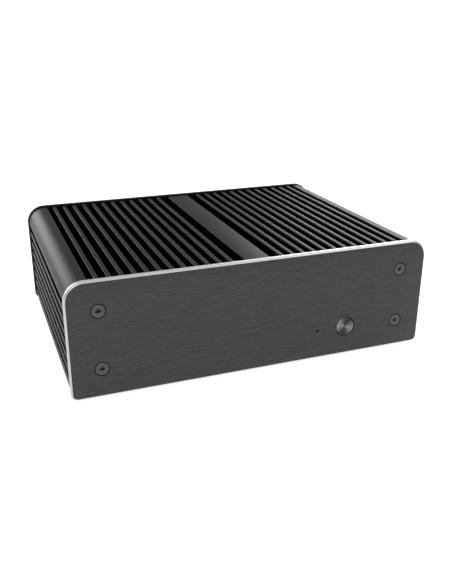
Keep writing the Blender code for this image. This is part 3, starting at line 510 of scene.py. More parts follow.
def lofted_mesh(rings):
    """Closed rings of points joined one to the next, and capped at both ends."""
    bm = bmesh.new()
    made = [[bm.verts.new(point) for point in ring] for ring in rings]
    for first, second in zip(made, made[1:]):
        for i in range(len(first)):
            j = (i + 1) % len(first)
            bm.faces.new((first[i], first[j], second[j], second[i]))
    bm.faces.new(list(reversed(made[0])))
    bm.faces.new(made[-1])
    bmesh.ops.recalc_face_normals(bm, faces=bm.faces)
    return mesh_from(bm)


def rounded_edges(bm, edges, width, segments):
    bmesh.ops.bevel(bm, geom=edges, offset=width, segments=segments, affect="EDGES", profile=0.5)


def box_mesh(low, high, bevel=0.0, segments=2):
    """A box between two corners, its edges rounded by bevel."""
    bm = bmesh.new()
    bmesh.ops.create_cube(bm, size=1.0)
    size = [b - a for a, b in zip(low, high)]
    centre = [(a + b) / 2 for a, b in zip(low, high)]
    bmesh.ops.scale(bm, vec=size, verts=bm.verts)
    bmesh.ops.translate(bm, vec=centre, verts=bm.verts)
    if bevel:
        rounded_edges(bm, bm.edges[:], bevel, segments)
    return mesh_from(bm)


def rod_mesh(radius, length, location, rotation=FACE_UP):
    """A round rod about its own Z axis, its middle at location."""
    bm = bmesh.new()
    bmesh.ops.create_cone(bm, cap_ends=True, segments=32, radius1=radius, radius2=radius, depth=length)
    mesh = mesh_from(bm)
    mesh.transform(placed(location, rotation))
    return mesh


def placed(location, rotation):
    """The matrix that turns about X, Y and Z and then moves to location."""
    turn = Matrix.Identity(4)
    for axis, angle in zip("XYZ", rotation):
        turn = Matrix.Rotation(angle, 4, axis) @ turn
    return Matrix.Translation(location) @ turn


def joined(meshes):
    """Puts several meshes into one, as they are."""
    bm = bmesh.new()
    for mesh in meshes:
        bm.from_mesh(mesh)
    return mesh_from(bm)


def carved(mesh, cutter):
    """The mesh with the cutter's shape taken out of it."""
    target = scratch(mesh)
    tool = scratch(cutter)
    boolean = target.modifiers.new("carve", "BOOLEAN")
    boolean.operation = "DIFFERENCE"
    boolean.solver = "EXACT"
    boolean.use_self = True
    boolean.object = tool
    result = evaluated_mesh(target)
    bpy.data.objects.remove(tool, do_unlink=True)
    return result


def smooth(mesh, degrees):
    """Shades the mesh smooth, except across edges sharper than an angle."""
    mesh.shade_smooth()
    mesh.set_sharp_from_angle(angle=math.radians(degrees))
    return mesh


def nodes_named(start):
    """The names of the CAD nodes that begin with start."""
    return [name for name in frame["nodes"] if name.startswith(start)]


def box_base(node):
    """The middle of a node's box, at the box's lowest height."""
    low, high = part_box(node)
    return (low.x + high.x) / 2, (low.y + high.y) / 2, low.z


def piece(stands_for, mesh, materials, name=None, body="case", location=ORIGIN, rotation=FACE_UP):
    """Adds one visible piece that stands for a CAD node, on its body and with its slot."""
    obj = bpy.data.objects.new(name or stands_for + "_look", mesh)
    bpy.context.scene.collection.objects.link(obj)
    if not mesh.materials:
        for material in materials:
            mesh.materials.append(material)
    obj.matrix_world = placed(location, rotation)
    bpy.context.view_layer.update()
    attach(obj, body)
    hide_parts(stands_for)
    return obj


# ---- outer pieces


BODY_TOP = SIDE_HIGH.z
BODY_HALF_WIDTH = SIDE_HIGH.x
BODY_LENGTH = SIDE_HIGH.y - SIDE_LOW.y
TOP_FLOOR = BODY_TOP - TOP_FIN_DEPTH
SIDE_FLOOR = BODY_HALF_WIDTH - SIDE_FIN_DEPTH
CEILING = TOP_FLOOR - WALL
INNER_X = SIDE_FLOOR - WALL
PANEL_SCREW_LEVELS = [PANEL_BOTTOM + height for height in PANEL_SCREW_HEIGHTS]


def top_section():
    """The top's section: rounded fin tips, filleted gaps and a tongue along both edges."""
    tip, root, seam, half_fin = FIN_TIP_RADIUS, FIN_ROOT_RADIUS, SEAM_EDGE_RADIUS, FIN_THICKNESS / 2
    points = [(STRIP_HALF_WIDTH, BODY_TOP, tip), (STRIP_HALF_WIDTH, TOP_FLOOR, root)]
    for index in range(TOP_FIN_COUNT):
        x = TOP_FIN_FIRST + index * TOP_FIN_PITCH
        points += [(x - half_fin, TOP_FLOOR, root), (x - half_fin, BODY_TOP, tip)]
        points += [(x + half_fin, BODY_TOP, tip), (x + half_fin, TOP_FLOOR, root)]
    edge = SEAM_X - GAP / 2
    tongue_end = SEAM_X + TONGUE_REACH
    tongue_low, tongue_high = [CEILING + height for height in TONGUE_HEIGHTS]
    points += [(edge, TOP_FLOOR, seam), (edge, tongue_high), (tongue_end, tongue_high, seam)]
    points += [(tongue_end, tongue_low, seam), (edge, tongue_low), (edge, CEILING, seam)]
    mirrored = [(-x, z, *radius) for x, z, *radius in reversed(points)]
    return rounded(points + mirrored, BODY_CORNER_STEPS)


def side_section():
    """The right side's section: corner block, fins, rail, screw bosses and the groove."""
    tip, root, half_fin = FIN_TIP_RADIUS, FIN_ROOT_RADIUS, FIN_THICKNESS / 2
    edge = SEAM_X + GAP / 2
    points = [(edge, TOP_FLOOR, SEAM_EDGE_RADIUS), (CORNER_BLOCK_X, TOP_FLOOR, root)]
    points.append((CORNER_BLOCK_X, BODY_TOP, tip))
    radius = PANEL_TOP_RADIUS - (PANEL_HALF_WIDTH - BODY_HALF_WIDTH)
    points += arc((BODY_HALF_WIDTH - radius, BODY_TOP - radius), radius, 90.0, 0.0, 28)
    block_low = PANEL_BOTTOM + SIDE_BLOCK_HEIGHT
    points += [(BODY_HALF_WIDTH, block_low, tip), (SIDE_FLOOR, block_low, root)]
    for index in reversed(range(SIDE_FIN_COUNT)):
        z = PANEL_BOTTOM + SIDE_FIN_LOWEST + index * SIDE_FIN_PITCH
        points += [(SIDE_FLOOR, z + half_fin, root), (BODY_HALF_WIDTH, z + half_fin, tip)]
        points += [(BODY_HALF_WIDTH, z - half_fin, tip), (SIDE_FLOOR, z - half_fin, root)]
    rail_top = PANEL_BOTTOM + RAIL_HEIGHT
    points += [(SIDE_FLOOR, rail_top, root), (BODY_HALF_WIDTH, rail_top, tip)]
    points += [(BODY_HALF_WIDTH, SIDE_LOW.z, RAIL_EDGE_RADIUS), (INNER_X, SIDE_LOW.z)]
    lower, upper = PANEL_SCREW_LEVELS
    points.append((INNER_X, lower - BOSS_RADIUS))
    points += arc((PANEL_SCREW_X, lower), BOSS_RADIUS, 270.0, 90.0, 16)
    points += [(INNER_X, lower + BOSS_RADIUS), (INNER_X, upper - BOSS_RADIUS)]
    points += arc((PANEL_SCREW_X, upper), BOSS_RADIUS, 270.0, 90.0, 16)
    groove_low, groove_high = [CEILING + height for height in TONGUE_HEIGHTS]
    groove_end = SEAM_X + TONGUE_REACH + GAP
    points += [(edge, upper + BOSS_RADIUS), (edge, groove_low - GAP), (groove_end, groove_low - GAP)]
    points += [(groove_end, groove_high + GAP), (edge, groove_high + GAP)]
    return rounded(points, BODY_CORNER_STEPS)


def panel_screw_places():
    """The name, x and z of each screw of an end panel."""
    for side, x in (("left", -PANEL_SCREW_X), ("right", PANEL_SCREW_X)):
        for level, z in zip(("lower", "upper"), PANEL_SCREW_LEVELS):
            yield level + "_" + side, x, z


def face_groups(mesh, chooser):
    """Sets each face's material index from chooser(centre, normal)."""
    for polygon in mesh.polygons:
        polygon.material_index = chooser(polygon.center, polygon.normal)
    return mesh


def in_a_gap(centre, _):
    """1 on the walls and floors between the fins, which get a darker colour as painted shade, 0 on their
    tips and elsewhere.
    """
    slack, tip = 0.0001, 0.0008
    x, z = abs(centre.x), centre.z
    on_top = TOP_FLOOR - slack < z < BODY_TOP - tip and x < CORNER_BLOCK_X + slack
    beside = SIDE_FLOOR - slack < x < BODY_HALF_WIDTH - tip
    between = PANEL_BOTTOM + RAIL_HEIGHT - slack < z < PANEL_BOTTOM + SIDE_BLOCK_HEIGHT + slack
    return int(on_top or (beside and between))


def build_extrusion(name, loops, node):
    """One of the three lengths of finned extrusion that make up the body."""
    mesh = outline_mesh(loops, BODY_LENGTH)
    mesh.transform(UPRIGHT)
    # The faces between the fins take the darker colour of painted shade
    face_groups(mesh, in_a_gap)
    piece(node, smooth(mesh, 40.0), [BLACK_ANODISED, GAP_PAINTED_SHADE], name)


def build_body():
    build_extrusion("finned_top", [top_section()], "top_heat_sink")
    for side, sign in (("left", -1), ("right", 1)):
        section = [(sign * x, z) for x, z in side_section()]
        bores = [circle((sign * PANEL_SCREW_X, z), THREAD_BORE, 24) for z in PANEL_SCREW_LEVELS]
        build_extrusion("finned_side_" + side, [section, *bores], "side_profile_" + side)


def panel_ring(inset, y):
    """The panels' outline, drawn in by inset, at a depth of y."""
    low = PANEL_BOTTOM + PANEL_BOTTOM_RADIUS
    high = PANEL_TOP - PANEL_TOP_RADIUS
    lower_x = PANEL_HALF_WIDTH - PANEL_BOTTOM_RADIUS
    upper_x = PANEL_HALF_WIDTH - PANEL_TOP_RADIUS
    right = arc((lower_x, low), PANEL_BOTTOM_RADIUS - inset, -90.0, 0.0, 14)
    right += arc((upper_x, high), PANEL_TOP_RADIUS - inset, 0.0, 90.0, 32)
    outline = right + [(-x, z) for x, z in reversed(right)]
    return [(x, y, z) for x, z in outline]


def hole_profile(radius, mouth, mouth_depth, inner):
    """A cutter for a hole with a chamfered mouth; inner holds its (radius, height) points below."""
    wide, overlap, top = radius + mouth, 0.001, 0.00001
    start = [(0.0, overlap), (wide, overlap), (wide, top), (radius, -mouth_depth)]
    return [*start, *inner, (0.0, inner[-1][1])]


def turned_parts(profile, places, rotation, segments=64):
    """A turned shape at each of several places, facing along rotation."""
    parts = []
    for place in places:
        part = turned_mesh(profile, segments)
        part.transform(placed(place, rotation))
        parts.append(part)
    return parts


def panel_blank(steps, rotation):
    """A panel with its four screw holes, from the inset and depth of its outline, outer face last."""
    outer_y, sink, bore = steps[-1][1], 0.0046, 0.0024
    inner = [(sink, -0.0008), (bore, -0.0028), (bore, -0.004)]
    places = [(x, outer_y, z) for _, x, z in panel_screw_places()]
    tools = turned_parts(hole_profile(sink, 0.00007, 0.00006, inner), places, rotation)
    return carved(lofted_mesh([panel_ring(inset, y) for inset, y in steps]), joined(tools))


def outline_distance(x, z):
    """How far a point lies inside the panels' edge."""
    middle, half_height = (PANEL_TOP + PANEL_BOTTOM) / 2, (PANEL_TOP - PANEL_BOTTOM) / 2
    radius = PANEL_TOP_RADIUS if z > middle else PANEL_BOTTOM_RADIUS
    out_x = abs(x) - (PANEL_HALF_WIDTH - radius)
    out_z = abs(z - middle) - (half_height - radius)
    if out_x > 0 and out_z > 0:
        return radius - math.hypot(out_x, out_z)
    return radius - max(out_x, out_z)


def build_front_panel():
    """The brushed plate with a bare chamfer and the holes for screws, button and LED."""
    chamfer, soft, back_edge = FRONT_CHAMFER, 0.00008, 0.00025
    softer = soft * 0.3
    back = FRONT_Y + PANEL_THICKNESS
    mesh = panel_blank([
        (back_edge, back), (0.00006, back - 0.00008), (0.0, back - back_edge),
        (0.0, FRONT_Y + chamfer + soft), (softer, FRONT_Y + chamfer),
        (soft, FRONT_Y + chamfer - soft), (chamfer - soft, FRONT_Y + soft),
        (chamfer, FRONT_Y + softer), (chamfer + soft, FRONT_Y),
    ], FACE_FRONT)
    through, button_hole, led_hole = 4 * PANEL_THICKNESS, 0.0066, 0.0008
    profile = hole_profile(button_hole, 0.0002, 0.00015, [(button_hole, -through)])
    button_place = (BUTTON_X, FRONT_Y, BUTTON_Z)
    mesh = carved(mesh, turned_parts(profile, [button_place], FACE_FRONT, 96)[0])
    mesh = carved(mesh, rod_mesh(led_hole, through, (LED_X, FRONT_Y, BUTTON_Z), FACE_FRONT))

    def material_index(centre, normal):
        """0 on the brushed face, 1 round its edge, 2 on the back and in the holes."""
        if outline_distance(centre.x, centre.z) < chamfer * 0.97 and normal.y < 0.5:
            return 1
        return 0 if normal.y < -0.99 else 2

    face_groups(mesh, material_index)
    materials = [GREY_BRUSHED, BARE_EDGE, COVER_ANODISED]
    piece("front_panel", smooth(mesh, 20.0), materials, "brushed_front_panel")


def build_rear_panel():
    """The rear plate, with its screw holes and the window for the connectors."""
    chamfer, front_edge = REAR_CHAMFER, 0.00015
    soft = chamfer * 0.3
    front = REAR_LOW.y
    mesh = panel_blank([
        (front_edge, front), (0.0, front + front_edge),
        (0.0, REAR_Y - chamfer), (soft, REAR_Y - soft), (chamfer, REAR_Y),
    ], FACE_REAR)
    low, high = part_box("io_shield")
    overlap = 0.01
    window_low = (low.x - GAP, front - overlap, low.z - GAP)
    window_high = (high.x + GAP, REAR_Y + overlap, high.z + GAP)
    mesh = carved(mesh, box_mesh(window_low, window_high))
    piece("rear_panel", smooth(mesh, 25.0), [REAR_ANODISED], "rear_plate")


def cross_cutter(wing, slot, depth):
    """A cross recess that narrows downwards, its mouth at z = 0."""
    def cross(scale, z):
        end, side = wing / 2 * scale, slot / 2 * (0.55 + 0.45 * scale)
        quarter = [(end, side), (side * 1.5, side * 1.5), (side, end)]
        points = []
        for _ in range(4):
            points += [(x, y, z) for x, y in quarter]
            quarter = [(-y, x) for x, y in quarter]
        return points

    steps = ((0.25, -depth), (0.62, -depth * 0.55), (1.0, 0.0), (1.0, 0.001))
    return lofted_mesh([cross(scale, z) for scale, z in steps])


def countersunk_screw(radius, shank_radius, length, wing, slot, depth):
    """A countersunk screw along -Z with a cross recess, its head's face at z = 0."""
    edge, land, point = radius * 0.03, 0.00025, 0.0004
    neck = -land - (radius - shank_radius)
    profile = [(0.0, 0.0), (radius * 0.5, 0.0), (radius - edge, 0.0), (radius - edge * 0.3, -edge * 0.3)]
    profile += [(radius, -edge), (radius, -land), (shank_radius, neck), (shank_radius, point - length)]
    profile += [(shank_radius - point, -length), (0.0, -length)]
    return smooth(carved(turned_mesh(profile), cross_cutter(wing, slot, depth)), 28.0)


def build_panel_screws():
    """The end panels' screws, a hair below the faces, each stopped at its own turn."""
    mesh = countersunk_screw(0.0041, 0.0019, 0.012, wing=0.0036, slot=0.00095, depth=0.0015)
    sunk = 0.00008
    for place_name, x, z in panel_screw_places():
        spin = Matrix.Rotation(math.sin(x * 900.0 + z * 700.0) * 0.35, 4, "Z")
        for end, y, face in (("front", FRONT_Y + sunk, FACE_FRONT), ("rear", REAR_Y - sunk, FACE_REAR)):
            screw = piece(end + "_screw_" + place_name, mesh, [SCREW_DARK])
            screw.matrix_world = placed((x, y, z), face) @ spin


def build_cover_screws():
    mesh = countersunk_screw(0.0030, 0.0015, 0.0064, wing=0.0027, slot=0.00065, depth=0.0011)
    for node in nodes_named("cover_screw_"):
        piece(node, mesh, [SCREW_DARK], location=box_base(node), rotation=FACE_DOWN)


def build_power_button():
    """A dished cap with a chamfered rim, a flange and a stem."""
    dish_radius, dish_depth, lip, dish_steps = 0.0055, 0.00055, 0.00004, 14
    cap_radius, flange_radius, stem_radius = 0.0063, 0.0070, 0.0022
    flange_front, flange_back, stem_end, stem_edge = -0.0033, -0.0044, -0.0109, 0.0002
    profile = [(0.0, -dish_depth)]
    for step in range(1, dish_steps + 1):
        share = step / dish_steps
        profile.append((dish_radius * share, -dish_depth * (1 - share ** 2) - lip))
    profile += [(0.00562, -lip / 2), (0.0058, 0.0), (0.00595, -lip), (cap_radius, -0.0004)]
    profile += [(cap_radius, flange_front), (flange_radius, flange_front), (flange_radius, flange_back)]
    profile += [(stem_radius, flange_back), (stem_radius, stem_end + stem_edge)]
    profile += [(stem_radius - stem_edge, stem_end), (0.0, stem_end)]

    def material_index(centre, _):
        """0 in the dish, 1 on the rim and behind it."""
        return 0 if math.hypot(centre.x, centre.y) < dish_radius and centre.z > -0.001 else 1

    mesh = smooth(face_groups(turned_mesh(profile, 128), material_index), 30.0)
    location = (BUTTON_X, FRONT_Y + 0.00005, BUTTON_Z)
    piece("power_button", mesh, [BUTTON_SPUN_PAINTED_HIGHLIGHT, BUTTON_RIM_PAINTED_HIGHLIGHT], None, "power_button", location, FACE_FRONT)


def tube_mesh(points, radius):
    """A round wire along points, capped at both ends."""
    curve = bpy.data.curves.new("wire", "CURVE")
    curve.dimensions = "3D"
    curve.bevel_depth = radius
    curve.bevel_resolution = 3
    curve.use_fill_caps = True
    return curve_mesh(curve, [points], cyclic=False)


def build_button_spring():
    """A compression spring with closed end turns."""
    low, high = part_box("button_spring")
    wire, turns, points_per_turn, travel = 0.0003, 6, 28, 0.0008
    centre_x, centre_z = (low.x + high.x) / 2, (low.z + high.z) / 2
    radius = (high.x - low.x) / 2 - wire
    closed_rise = 2.1 * wire
    open_rise = (high.y - low.y - 2 * wire - 2 * closed_rise) / (turns - 2)
    points = []
    for index in range(turns * points_per_turn + 1):
        turn = index / points_per_turn
        rise = min(turn, 1) * closed_rise + max(0, min(turn - 1, turns - 2)) * open_rise
        rise += max(0, turn - turns + 1) * closed_rise
        x = centre_x + radius * math.cos(2 * math.pi * turn)
        z = centre_z + radius * math.sin(2 * math.pi * turn)
        points.append((x, low.y + wire + rise, z))
    mesh = smooth(tube_mesh(points, wire), 60.0)
    spring = piece("button_spring", mesh, [PLATED])
    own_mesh(spring)


def build_bottom_cover():
    """A plate with rounded lower edges, four countersinks and a hole at each standoff."""
    low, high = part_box("bottom_cover")
    radius, top_edge = 0.0025, 0.0003
    right = arc((high.x - radius, low.z + radius), radius, -90.0, 0.0, 14)
    right += [(high.x, high.z - top_edge), (high.x - top_edge, high.z)]
    mesh = outline_mesh([right + [(-x, z) for x, z in reversed(right)]], high.y - low.y)
    mesh.transform(UPRIGHT)
    sink, bore, standoff_bore = 0.0033, 0.0018, 0.0017
    inner = [(sink, -0.0002), (bore, -0.0017), (bore, -0.005)]
    screws = [(*box_base(node)[:2], low.z) for node in nodes_named("cover_screw_")]
    standoffs = [(*box_base(node)[:2], low.z) for node in nodes_named("standoff_")]
    tools = turned_parts(hole_profile(sink, 0.0001, 0.0001, inner), screws, FACE_DOWN, 48)
    tools += [rod_mesh(standoff_bore, 0.02, place) for place in standoffs]
    mesh = carved(mesh, joined(tools))
    piece("bottom_cover", smooth(mesh, 25.0), [COVER_ANODISED], "bottom_plate")


def build_feet():
    """Rubber feet that narrow downwards, each with a dimple in the middle of its sole."""
    top_edge, dimple_depth = 0.0002, 0.0008
    for node in nodes_named("foot_"):
        low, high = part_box(node)
        radius, height = (high.x - low.x) / 2, high.z - low.z
        profile = [(0.0, height), (radius - top_edge, height), (radius, height - top_edge)]
        profile += [(radius - 0.0007, 0.0009), (radius - 0.0009, 0.0004), (radius - 0.0013, 0.0001)]
        profile += [(radius - 0.0018, 0.0), (0.0034, 0.0), (0.0030, 0.0003)]
        profile += [(0.0028, dimple_depth), (0.0, dimple_depth)]
        piece(node, smooth(turned_mesh(profile), 40.0), [RUBBER], location=box_base(node))


# ---- rear connectors


def tinted(mesh, index):
    """Gives every face of a mesh the piece's material of that index."""
    return face_groups(mesh, lambda *_: index)


def rectangle(low, high, radius):
    """An outline between two (x, z) corners, with its own corners rounded."""
    corners = ((low[0], low[1]), (high[0], low[1]), (high[0], high[1]), (low[0], high[1]))
    return rounded([(x, z, radius) for x, z in corners])


def grown(low, high, reach):
    """Two (x, z) corners moved apart by reach, or together where it is negative."""
    return (low[0] - reach, low[1] - reach), (high[0] + reach, high[1] + reach)


def slab(loops, y_low, y_high, index=0):
    """An (x, z) outline with holes, stretched from y_low to y_high."""
    mesh = outline_mesh(loops, y_high - y_low)
    mesh.transform(Matrix.Translation((0.0, (y_low + y_high) / 2, 0.0)) @ UPRIGHT)
    return tinted(mesh, index)


def softened(mesh, width=0.00012, segments=2):
    """Rounds every sharp edge a little, as pressing or moulding leaves it."""
    bm = bmesh.new()
    bm.from_mesh(mesh)
    limit = math.radians(50)
    edges = [edge for edge in bm.edges if edge.is_manifold and edge.calc_face_angle() > limit]
    rounded_edges(bm, edges, width, segments)
    bm.to_mesh(mesh)
    bm.free()
    return mesh


def port_corners(node):
    """A connector's lowest and highest (x, z) corners, its depth's ends and its middle."""
    low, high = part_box(node)
    middle = ((low.x + high.x) / 2, (low.z + high.z) / 2)
    return (low.x, low.z), (high.x, high.z), low.y, high.y, middle


def contact_row(count, pitch, width, x, z, y_low, y_high, index):
    """Thin spring contacts side by side, lying along Y."""
    first = x - pitch * (count - 1) / 2
    half_height, edge = 0.00008, 0.00003
    strips = []
    for number in range(count):
        left = first + number * pitch - width / 2
        strip = box_mesh((left, y_low, z - half_height), (left + width, y_high, z + half_height), edge)
        strips.append(tinted(strip, index))
    return strips


def port_case(outline, mouths, back, floor, face, softening=0.00012):
    """A connector's case, with open mouths from its face down to their floor."""
    front = softened(slab([outline, *mouths], floor, face), softening)
    return [front, slab([outline], back, floor)]


def port_piece(node, parts, materials):
    """Joins a connector's parts into the piece that stands for its node."""
    piece(node, smooth(joined(parts), 35.0), materials)


def build_dc_jack():
    """A round socket with a plated lining and a pin in its middle."""
    low, high, back, face, (x, z) = port_corners("dc_jack")
    depth, bore, pin = 0.009, 0.0032, 0.00105
    mouth = circle((x, z), bore, 48)
    case = port_case(rectangle(low, high, 0.0005), [mouth], back, face - depth, face, 0.00015)
    outer, inner = bore - 0.0001, bore - 0.0004
    lining = [(outer, -0.0004), (outer, -depth), (inner, -depth), (inner, -0.0006), (outer, -0.0004)]
    tip = [(0.0, -0.0008), (pin * 0.6, -0.0009), (pin, -0.0014), (pin, -depth), (0.0, -depth)]
    place = [(x, face, z)]
    metal = turned_parts(tip, place, FACE_REAR, 32) + turned_parts(lining, place, FACE_REAR, 48)
    port_piece("dc_jack", [*case, *[tinted(part, 1) for part in metal]], [BLACK_PLASTIC, PLATED])


def build_video_port():
    """A flat socket with slanted lower corners, and contacts on top of its tongue."""
    low, high, back, face, (x, z) = port_corners("video_port")
    floor, tongue_reach = face - 0.009, 0.0055
    left = [(-0.00695, 0.00225), (-0.00695, -0.0006), (-0.0054, -0.00225)]
    mouth = left + [(-a, b) for a, b in reversed(left)]
    outline = rounded([(x + a, z + b, 0.0003) for a, b in mouth])
    case = port_case(rectangle(low, high, 0.0006), [outline], back, floor, face)
    tongue_low = (x - tongue_reach, floor, z - 0.0005)
    tongue_high = (x + tongue_reach, face - 0.0015, z + 0.0005)
    tongue = tinted(box_mesh(tongue_low, tongue_high, 0.0001), 1)
    contacts = contact_row(10, 0.001, 0.00045, x, z + 0.00053, floor, face - 0.0019, 2)
    port_piece("video_port", [*case, tongue, *contacts], [PLATED, BLACK_PLASTIC, GOLD])


def build_usb_ports():
    """Two sockets, each with a blue tongue, four contacts and two springs."""
    low, high, back, face, (x, _) = port_corners("usb_ports")
    floor, half_width, half_height, tongue_reach = face - 0.012, 0.00625, 0.00255, 0.0056
    levels = [low[1] + share * (high[1] - low[1]) for share in (0.25, 0.75)]
    mouths = []
    for z in levels:
        mouth_low, mouth_high = (x - half_width, z - half_height), (x + half_width, z + half_height)
        mouths.append(rectangle(mouth_low, mouth_high, 0.0003))
    parts = port_case(rectangle(low, high, 0.0005), mouths, back, floor, face)
    for z in levels:
        tongue_high = (x + tongue_reach, face - 0.001, z + 0.0018)
        parts.append(tinted(box_mesh((x - tongue_reach, floor, z), tongue_high, 0.00015), 1))
        parts += contact_row(4, 0.0025, 0.001, x, z - 0.00004, face - 0.010, face - 0.002, 2)
        for middle in (x - 0.0032, x + 0.0032):
            spring_low = (middle - 0.001, face - 0.008, z - half_height - 0.0001)
            spring_high = (middle + 0.001, face - 0.0006, z - 0.0022)
            parts.append(box_mesh(spring_low, spring_high))
    port_piece("usb_ports", parts, [PLATED, BLUE_PLASTIC, GOLD])


def build_lan_port():
    """A socket with a latch notch, eight slanted contacts and two signal lights."""
    low, high, back, face, (x, _) = port_corners("lan_port")
    base, floor = low[1], face - 0.012
    right = [(0.006, 0.0014), (0.006, 0.0096), (0.003, 0.0096), (0.003, 0.0120)]
    socket = right + [(-a, b) for a, b in reversed(right)]
    outline = rounded([(x + a, base + b, 0.0002) for a, b in socket])
    inner = rectangle(*grown(low, high, -0.0005), 0.0003)
    parts = port_case(rectangle(low, high, 0.0006), [inner], back, floor, face)
    parts.append(softened(slab([inner, outline], floor, face - 0.0004, 1), 0.0001))
    for wire in contact_row(8, 0.00102, 0.0004, 0.0, 0.0, -0.0085, 0.0, 2):
        wire.transform(placed((x, face - 0.0030, base + 0.0022), (math.radians(-22.0), 0.0, 0.0)))
        parts.append(wire)
    for side, index in ((-1, 3), (1, 4)):
        near, far = sorted((x + side * 0.0042, x + side * 0.0070))
        lens_low = (near, face - 0.004, base + 0.0104)
        lens_high = (far, face - 0.0001, base + 0.0121)
        parts.append(tinted(box_mesh(lens_low, lens_high, 0.0002, 3), index))
    port_piece("lan_port", parts, [PLATED, BLACK_PLASTIC, GOLD, LIME_PLASTIC, CLEAR])


def build_audio_jacks():
    """Three round sockets, each with a coloured collar and a plated sleeve."""
    low, high, back, face, (x, _) = port_corners("audio_jacks")
    block_face, hole, sleeve_outer, sleeve_inner = face - 0.0012, 0.0031, 0.0018, 0.0016
    centres = [(x, low[1] + 0.0058 + level * 0.0102) for level in range(3)]
    holes = [circle(centre, hole, 40) for centre in centres]
    parts = [softened(slab([rectangle(low, high, 0.0006), *holes], back, block_face), 0.00015)]
    collar = [(0.0, -0.012), (sleeve_outer, -0.012), (sleeve_outer, -0.0003), (0.0021, 0.0)]
    collar += [(0.0036, 0.0), (0.0040, -0.0004), (0.0040, -0.0014), (0.0030, -0.0014)]
    collar += [(0.0030, -0.0130), (0.0, -0.0130)]
    sleeve = [(sleeve_outer, -0.0022), (sleeve_outer, -0.0100), (sleeve_inner, -0.0100)]
    sleeve += [(sleeve_inner, -0.0022), (sleeve_outer, -0.0022)]
    places = [(x, face, z) for _, z in centres]
    collars = turned_parts(collar, places, FACE_REAR, 48)
    parts += [tinted(part, number) for number, part in enumerate(collars, 1)]
    parts += [tinted(part, 4) for part in turned_parts(sleeve, places, FACE_REAR, 32)]
    port_piece("audio_jacks", parts, [BLACK_PLASTIC, PINK_PLASTIC, LIME_PLASTIC, BLUE_PLASTIC, PLATED])


def vent_holes(low, high, pitch, radius):
    """Round holes in staggered rows between two (x, z) corners."""
    row_step = pitch * 0.866
    rows = int((high[1] - low[1]) / row_step) + 1
    columns = int((high[0] - low[0]) / pitch) + 1
    for row in range(rows):
        left = low[0] + pitch / 2 * (row % 2)
        for column in range(columns - row % 2):
            yield circle((left + column * pitch, low[1] + row * row_step), radius, 16)


def build_io_shield():
    """A pressed plate with a folded rim, a raised lip round every connector, and vent holes."""
    low, high, back, face, _ = port_corners("io_shield")
    sheet, lip_width, lip_height, corner = 0.0005, 0.0007, 0.0003, 0.0012
    vent_pitch, vent_radius = 0.0033, 0.0011
    openings, lips = [], []
    for node in ("dc_jack", "video_port", "usb_ports", "lan_port", "audio_jacks"):
        opening = grown(*port_corners(node)[:2], GAP)
        openings.append(rectangle(*opening, 0.0006))
        lip_outline = rectangle(*grown(*opening, lip_width), 0.0009)
        lips.append(softened(slab([lip_outline, openings[-1]], face - sheet, face + lip_height)))
    # Both ends of each vented area, and its height above the plate's lower edge
    areas = ((-0.0290, -0.0125, 0.0080), (-0.0730, -0.0515, 0.0080), (0.0140, 0.0735, 0.0270))
    top, vents = high[1] - 0.0065, []
    for left, right, height in areas:
        vents += vent_holes((left, low[1] + height), (right, top), vent_pitch, vent_radius)
    outline = rectangle(low, high, corner)
    plate = softened(slab([outline, *openings, *vents], face - sheet, face), 0.00008, 1)
    rim = slab([outline, rectangle(*grown(low, high, -sheet), 0.0008)], back, face - sheet)
    port_piece("io_shield", [plate, rim, *lips], [PLATED])


# ---- stage


def build_camera():
    """The camera: azimuth and elevation of the line from its target, and its distance."""
    azimuth, elevation, roll = math.radians(-20.937), math.radians(21.844), math.radians(0.151)
    distance, target = 0.52536, Vector((0.010944, 0.0, 0.021546))
    level = math.cos(elevation)
    back = Vector((math.sin(azimuth) * level, -math.cos(azimuth) * level, math.sin(elevation)))
    data = bpy.data.cameras.new("camera")
    data.lens = 43.106
    data.clip_start = 0.01
    camera = bpy.data.objects.new("camera", data)
    bpy.context.scene.collection.objects.link(camera)
    camera.location = target + back * distance
    turn = (-back).to_track_quat("-Z", "Y").to_matrix().to_4x4() @ Matrix.Rotation(roll, 4, "Z")
    camera.rotation_euler = turn.to_euler()
    bpy.context.scene.camera = camera


def build_floor():
    """A wide sheet of pale paper that also glows weakly, like a light table."""
    bm = bmesh.new()
    bmesh.ops.create_circle(bm, cap_ends=True, segments=96, radius=12.0)
    floor = bpy.data.objects.new("floor", mesh_from(bm))
    bpy.context.scene.collection.objects.link(floor)
    finish = Finish("floor_paper", (0.50, 0.50, 0.50), 0.9)
    fibres = finish.noise(260.0, 3.0)
    finish.colour(fibres, (0.48, 0.48, 0.48), (0.52, 0.52, 0.52))
    finish.set("Specular IOR Level", 0.1)
    finish.set("Emission Strength", 0.88)
    floor.data.materials.append(finish.material)
    floor.location.z = CAD_BOX[0][2]


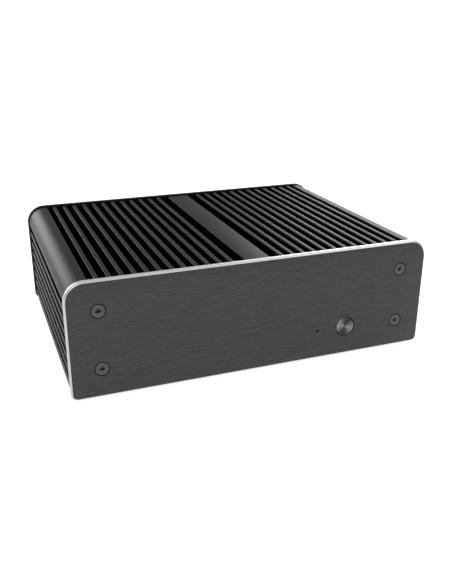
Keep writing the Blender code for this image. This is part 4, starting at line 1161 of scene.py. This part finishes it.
def area_light(name, location, target, size, energy):
    """A softbox of size (width, height) that looks at target."""
    data = bpy.data.lights.new(name, "AREA")
    data.shape = "RECTANGLE"
    data.size, data.size_y = size
    data.energy = energy
    light = bpy.data.objects.new(name, data)
    bpy.context.scene.collection.objects.link(light)
    light.location = location
    light.visible_camera = False
    light.rotation_euler = (Vector(target) - Vector(location)).to_track_quat("-Z", "Y").to_euler()


def build_world():
    """Studio walls: bright at the horizon and overhead, with a darker band between."""
    world = bpy.data.worlds.new("studio")
    world.use_nodes = True
    bpy.context.scene.world = world
    tree = world.node_tree
    place = tree.nodes.new("ShaderNodeTexCoord")
    split = tree.nodes.new("ShaderNodeSeparateXYZ")
    ramp = tree.nodes.new("ShaderNodeValToRGB")
    tree.links.new(place.outputs["Generated"], split.inputs["Vector"])
    tree.links.new(split.outputs["Z"], ramp.inputs["Fac"])
    tree.links.new(ramp.outputs["Color"], tree.nodes["Background"].inputs["Color"])
    # Height of a direction, 0 at the horizon and 1 overhead, and the brightness there
    stops = ((0.0, 1.08), (0.06, 1.0), (0.18, 0.56), (0.27, 0.60), (0.36, 0.86), (1.0, 0.95))
    elements = ramp.color_ramp.elements
    while len(elements) < len(stops):
        elements.new(0.5)
    for element, (height, level) in zip(elements, stops):
        element.position = height
        element.color = (level, level, level, 1.0)


def build_lights():
    """Two softboxes in front for the panel, and two behind that shine in the fins and corners."""
    low_target = (0.0, 0.0, 0.05)
    area_light("left_front_softbox", (-1.0, -1.2, 1.5), ORIGIN, (1.2, 1.0), 6.0)
    area_light("right_front_softbox", (1.3, -1.0, 1.5), ORIGIN, (1.2, 1.0), 8.0)
    area_light("right_rear_softbox", (1.10, 1.19, 0.74), low_target, (0.92, 0.6), 16.7)
    area_light("left_rear_softbox", (-0.60, 1.37, 0.33), low_target, (0.8, 0.5), 8.2)


finish_cad_nodes()
build_body()
build_front_panel()
build_rear_panel()
build_panel_screws()
build_cover_screws()
build_power_button()
build_button_spring()
build_bottom_cover()
build_feet()
build_dc_jack()
build_video_port()
build_usb_ports()
build_lan_port()
build_audio_jacks()
build_io_shield()
build_floor()
build_world()
build_lights()
build_camera()
bpy.context.scene.view_settings.view_transform = "Standard"
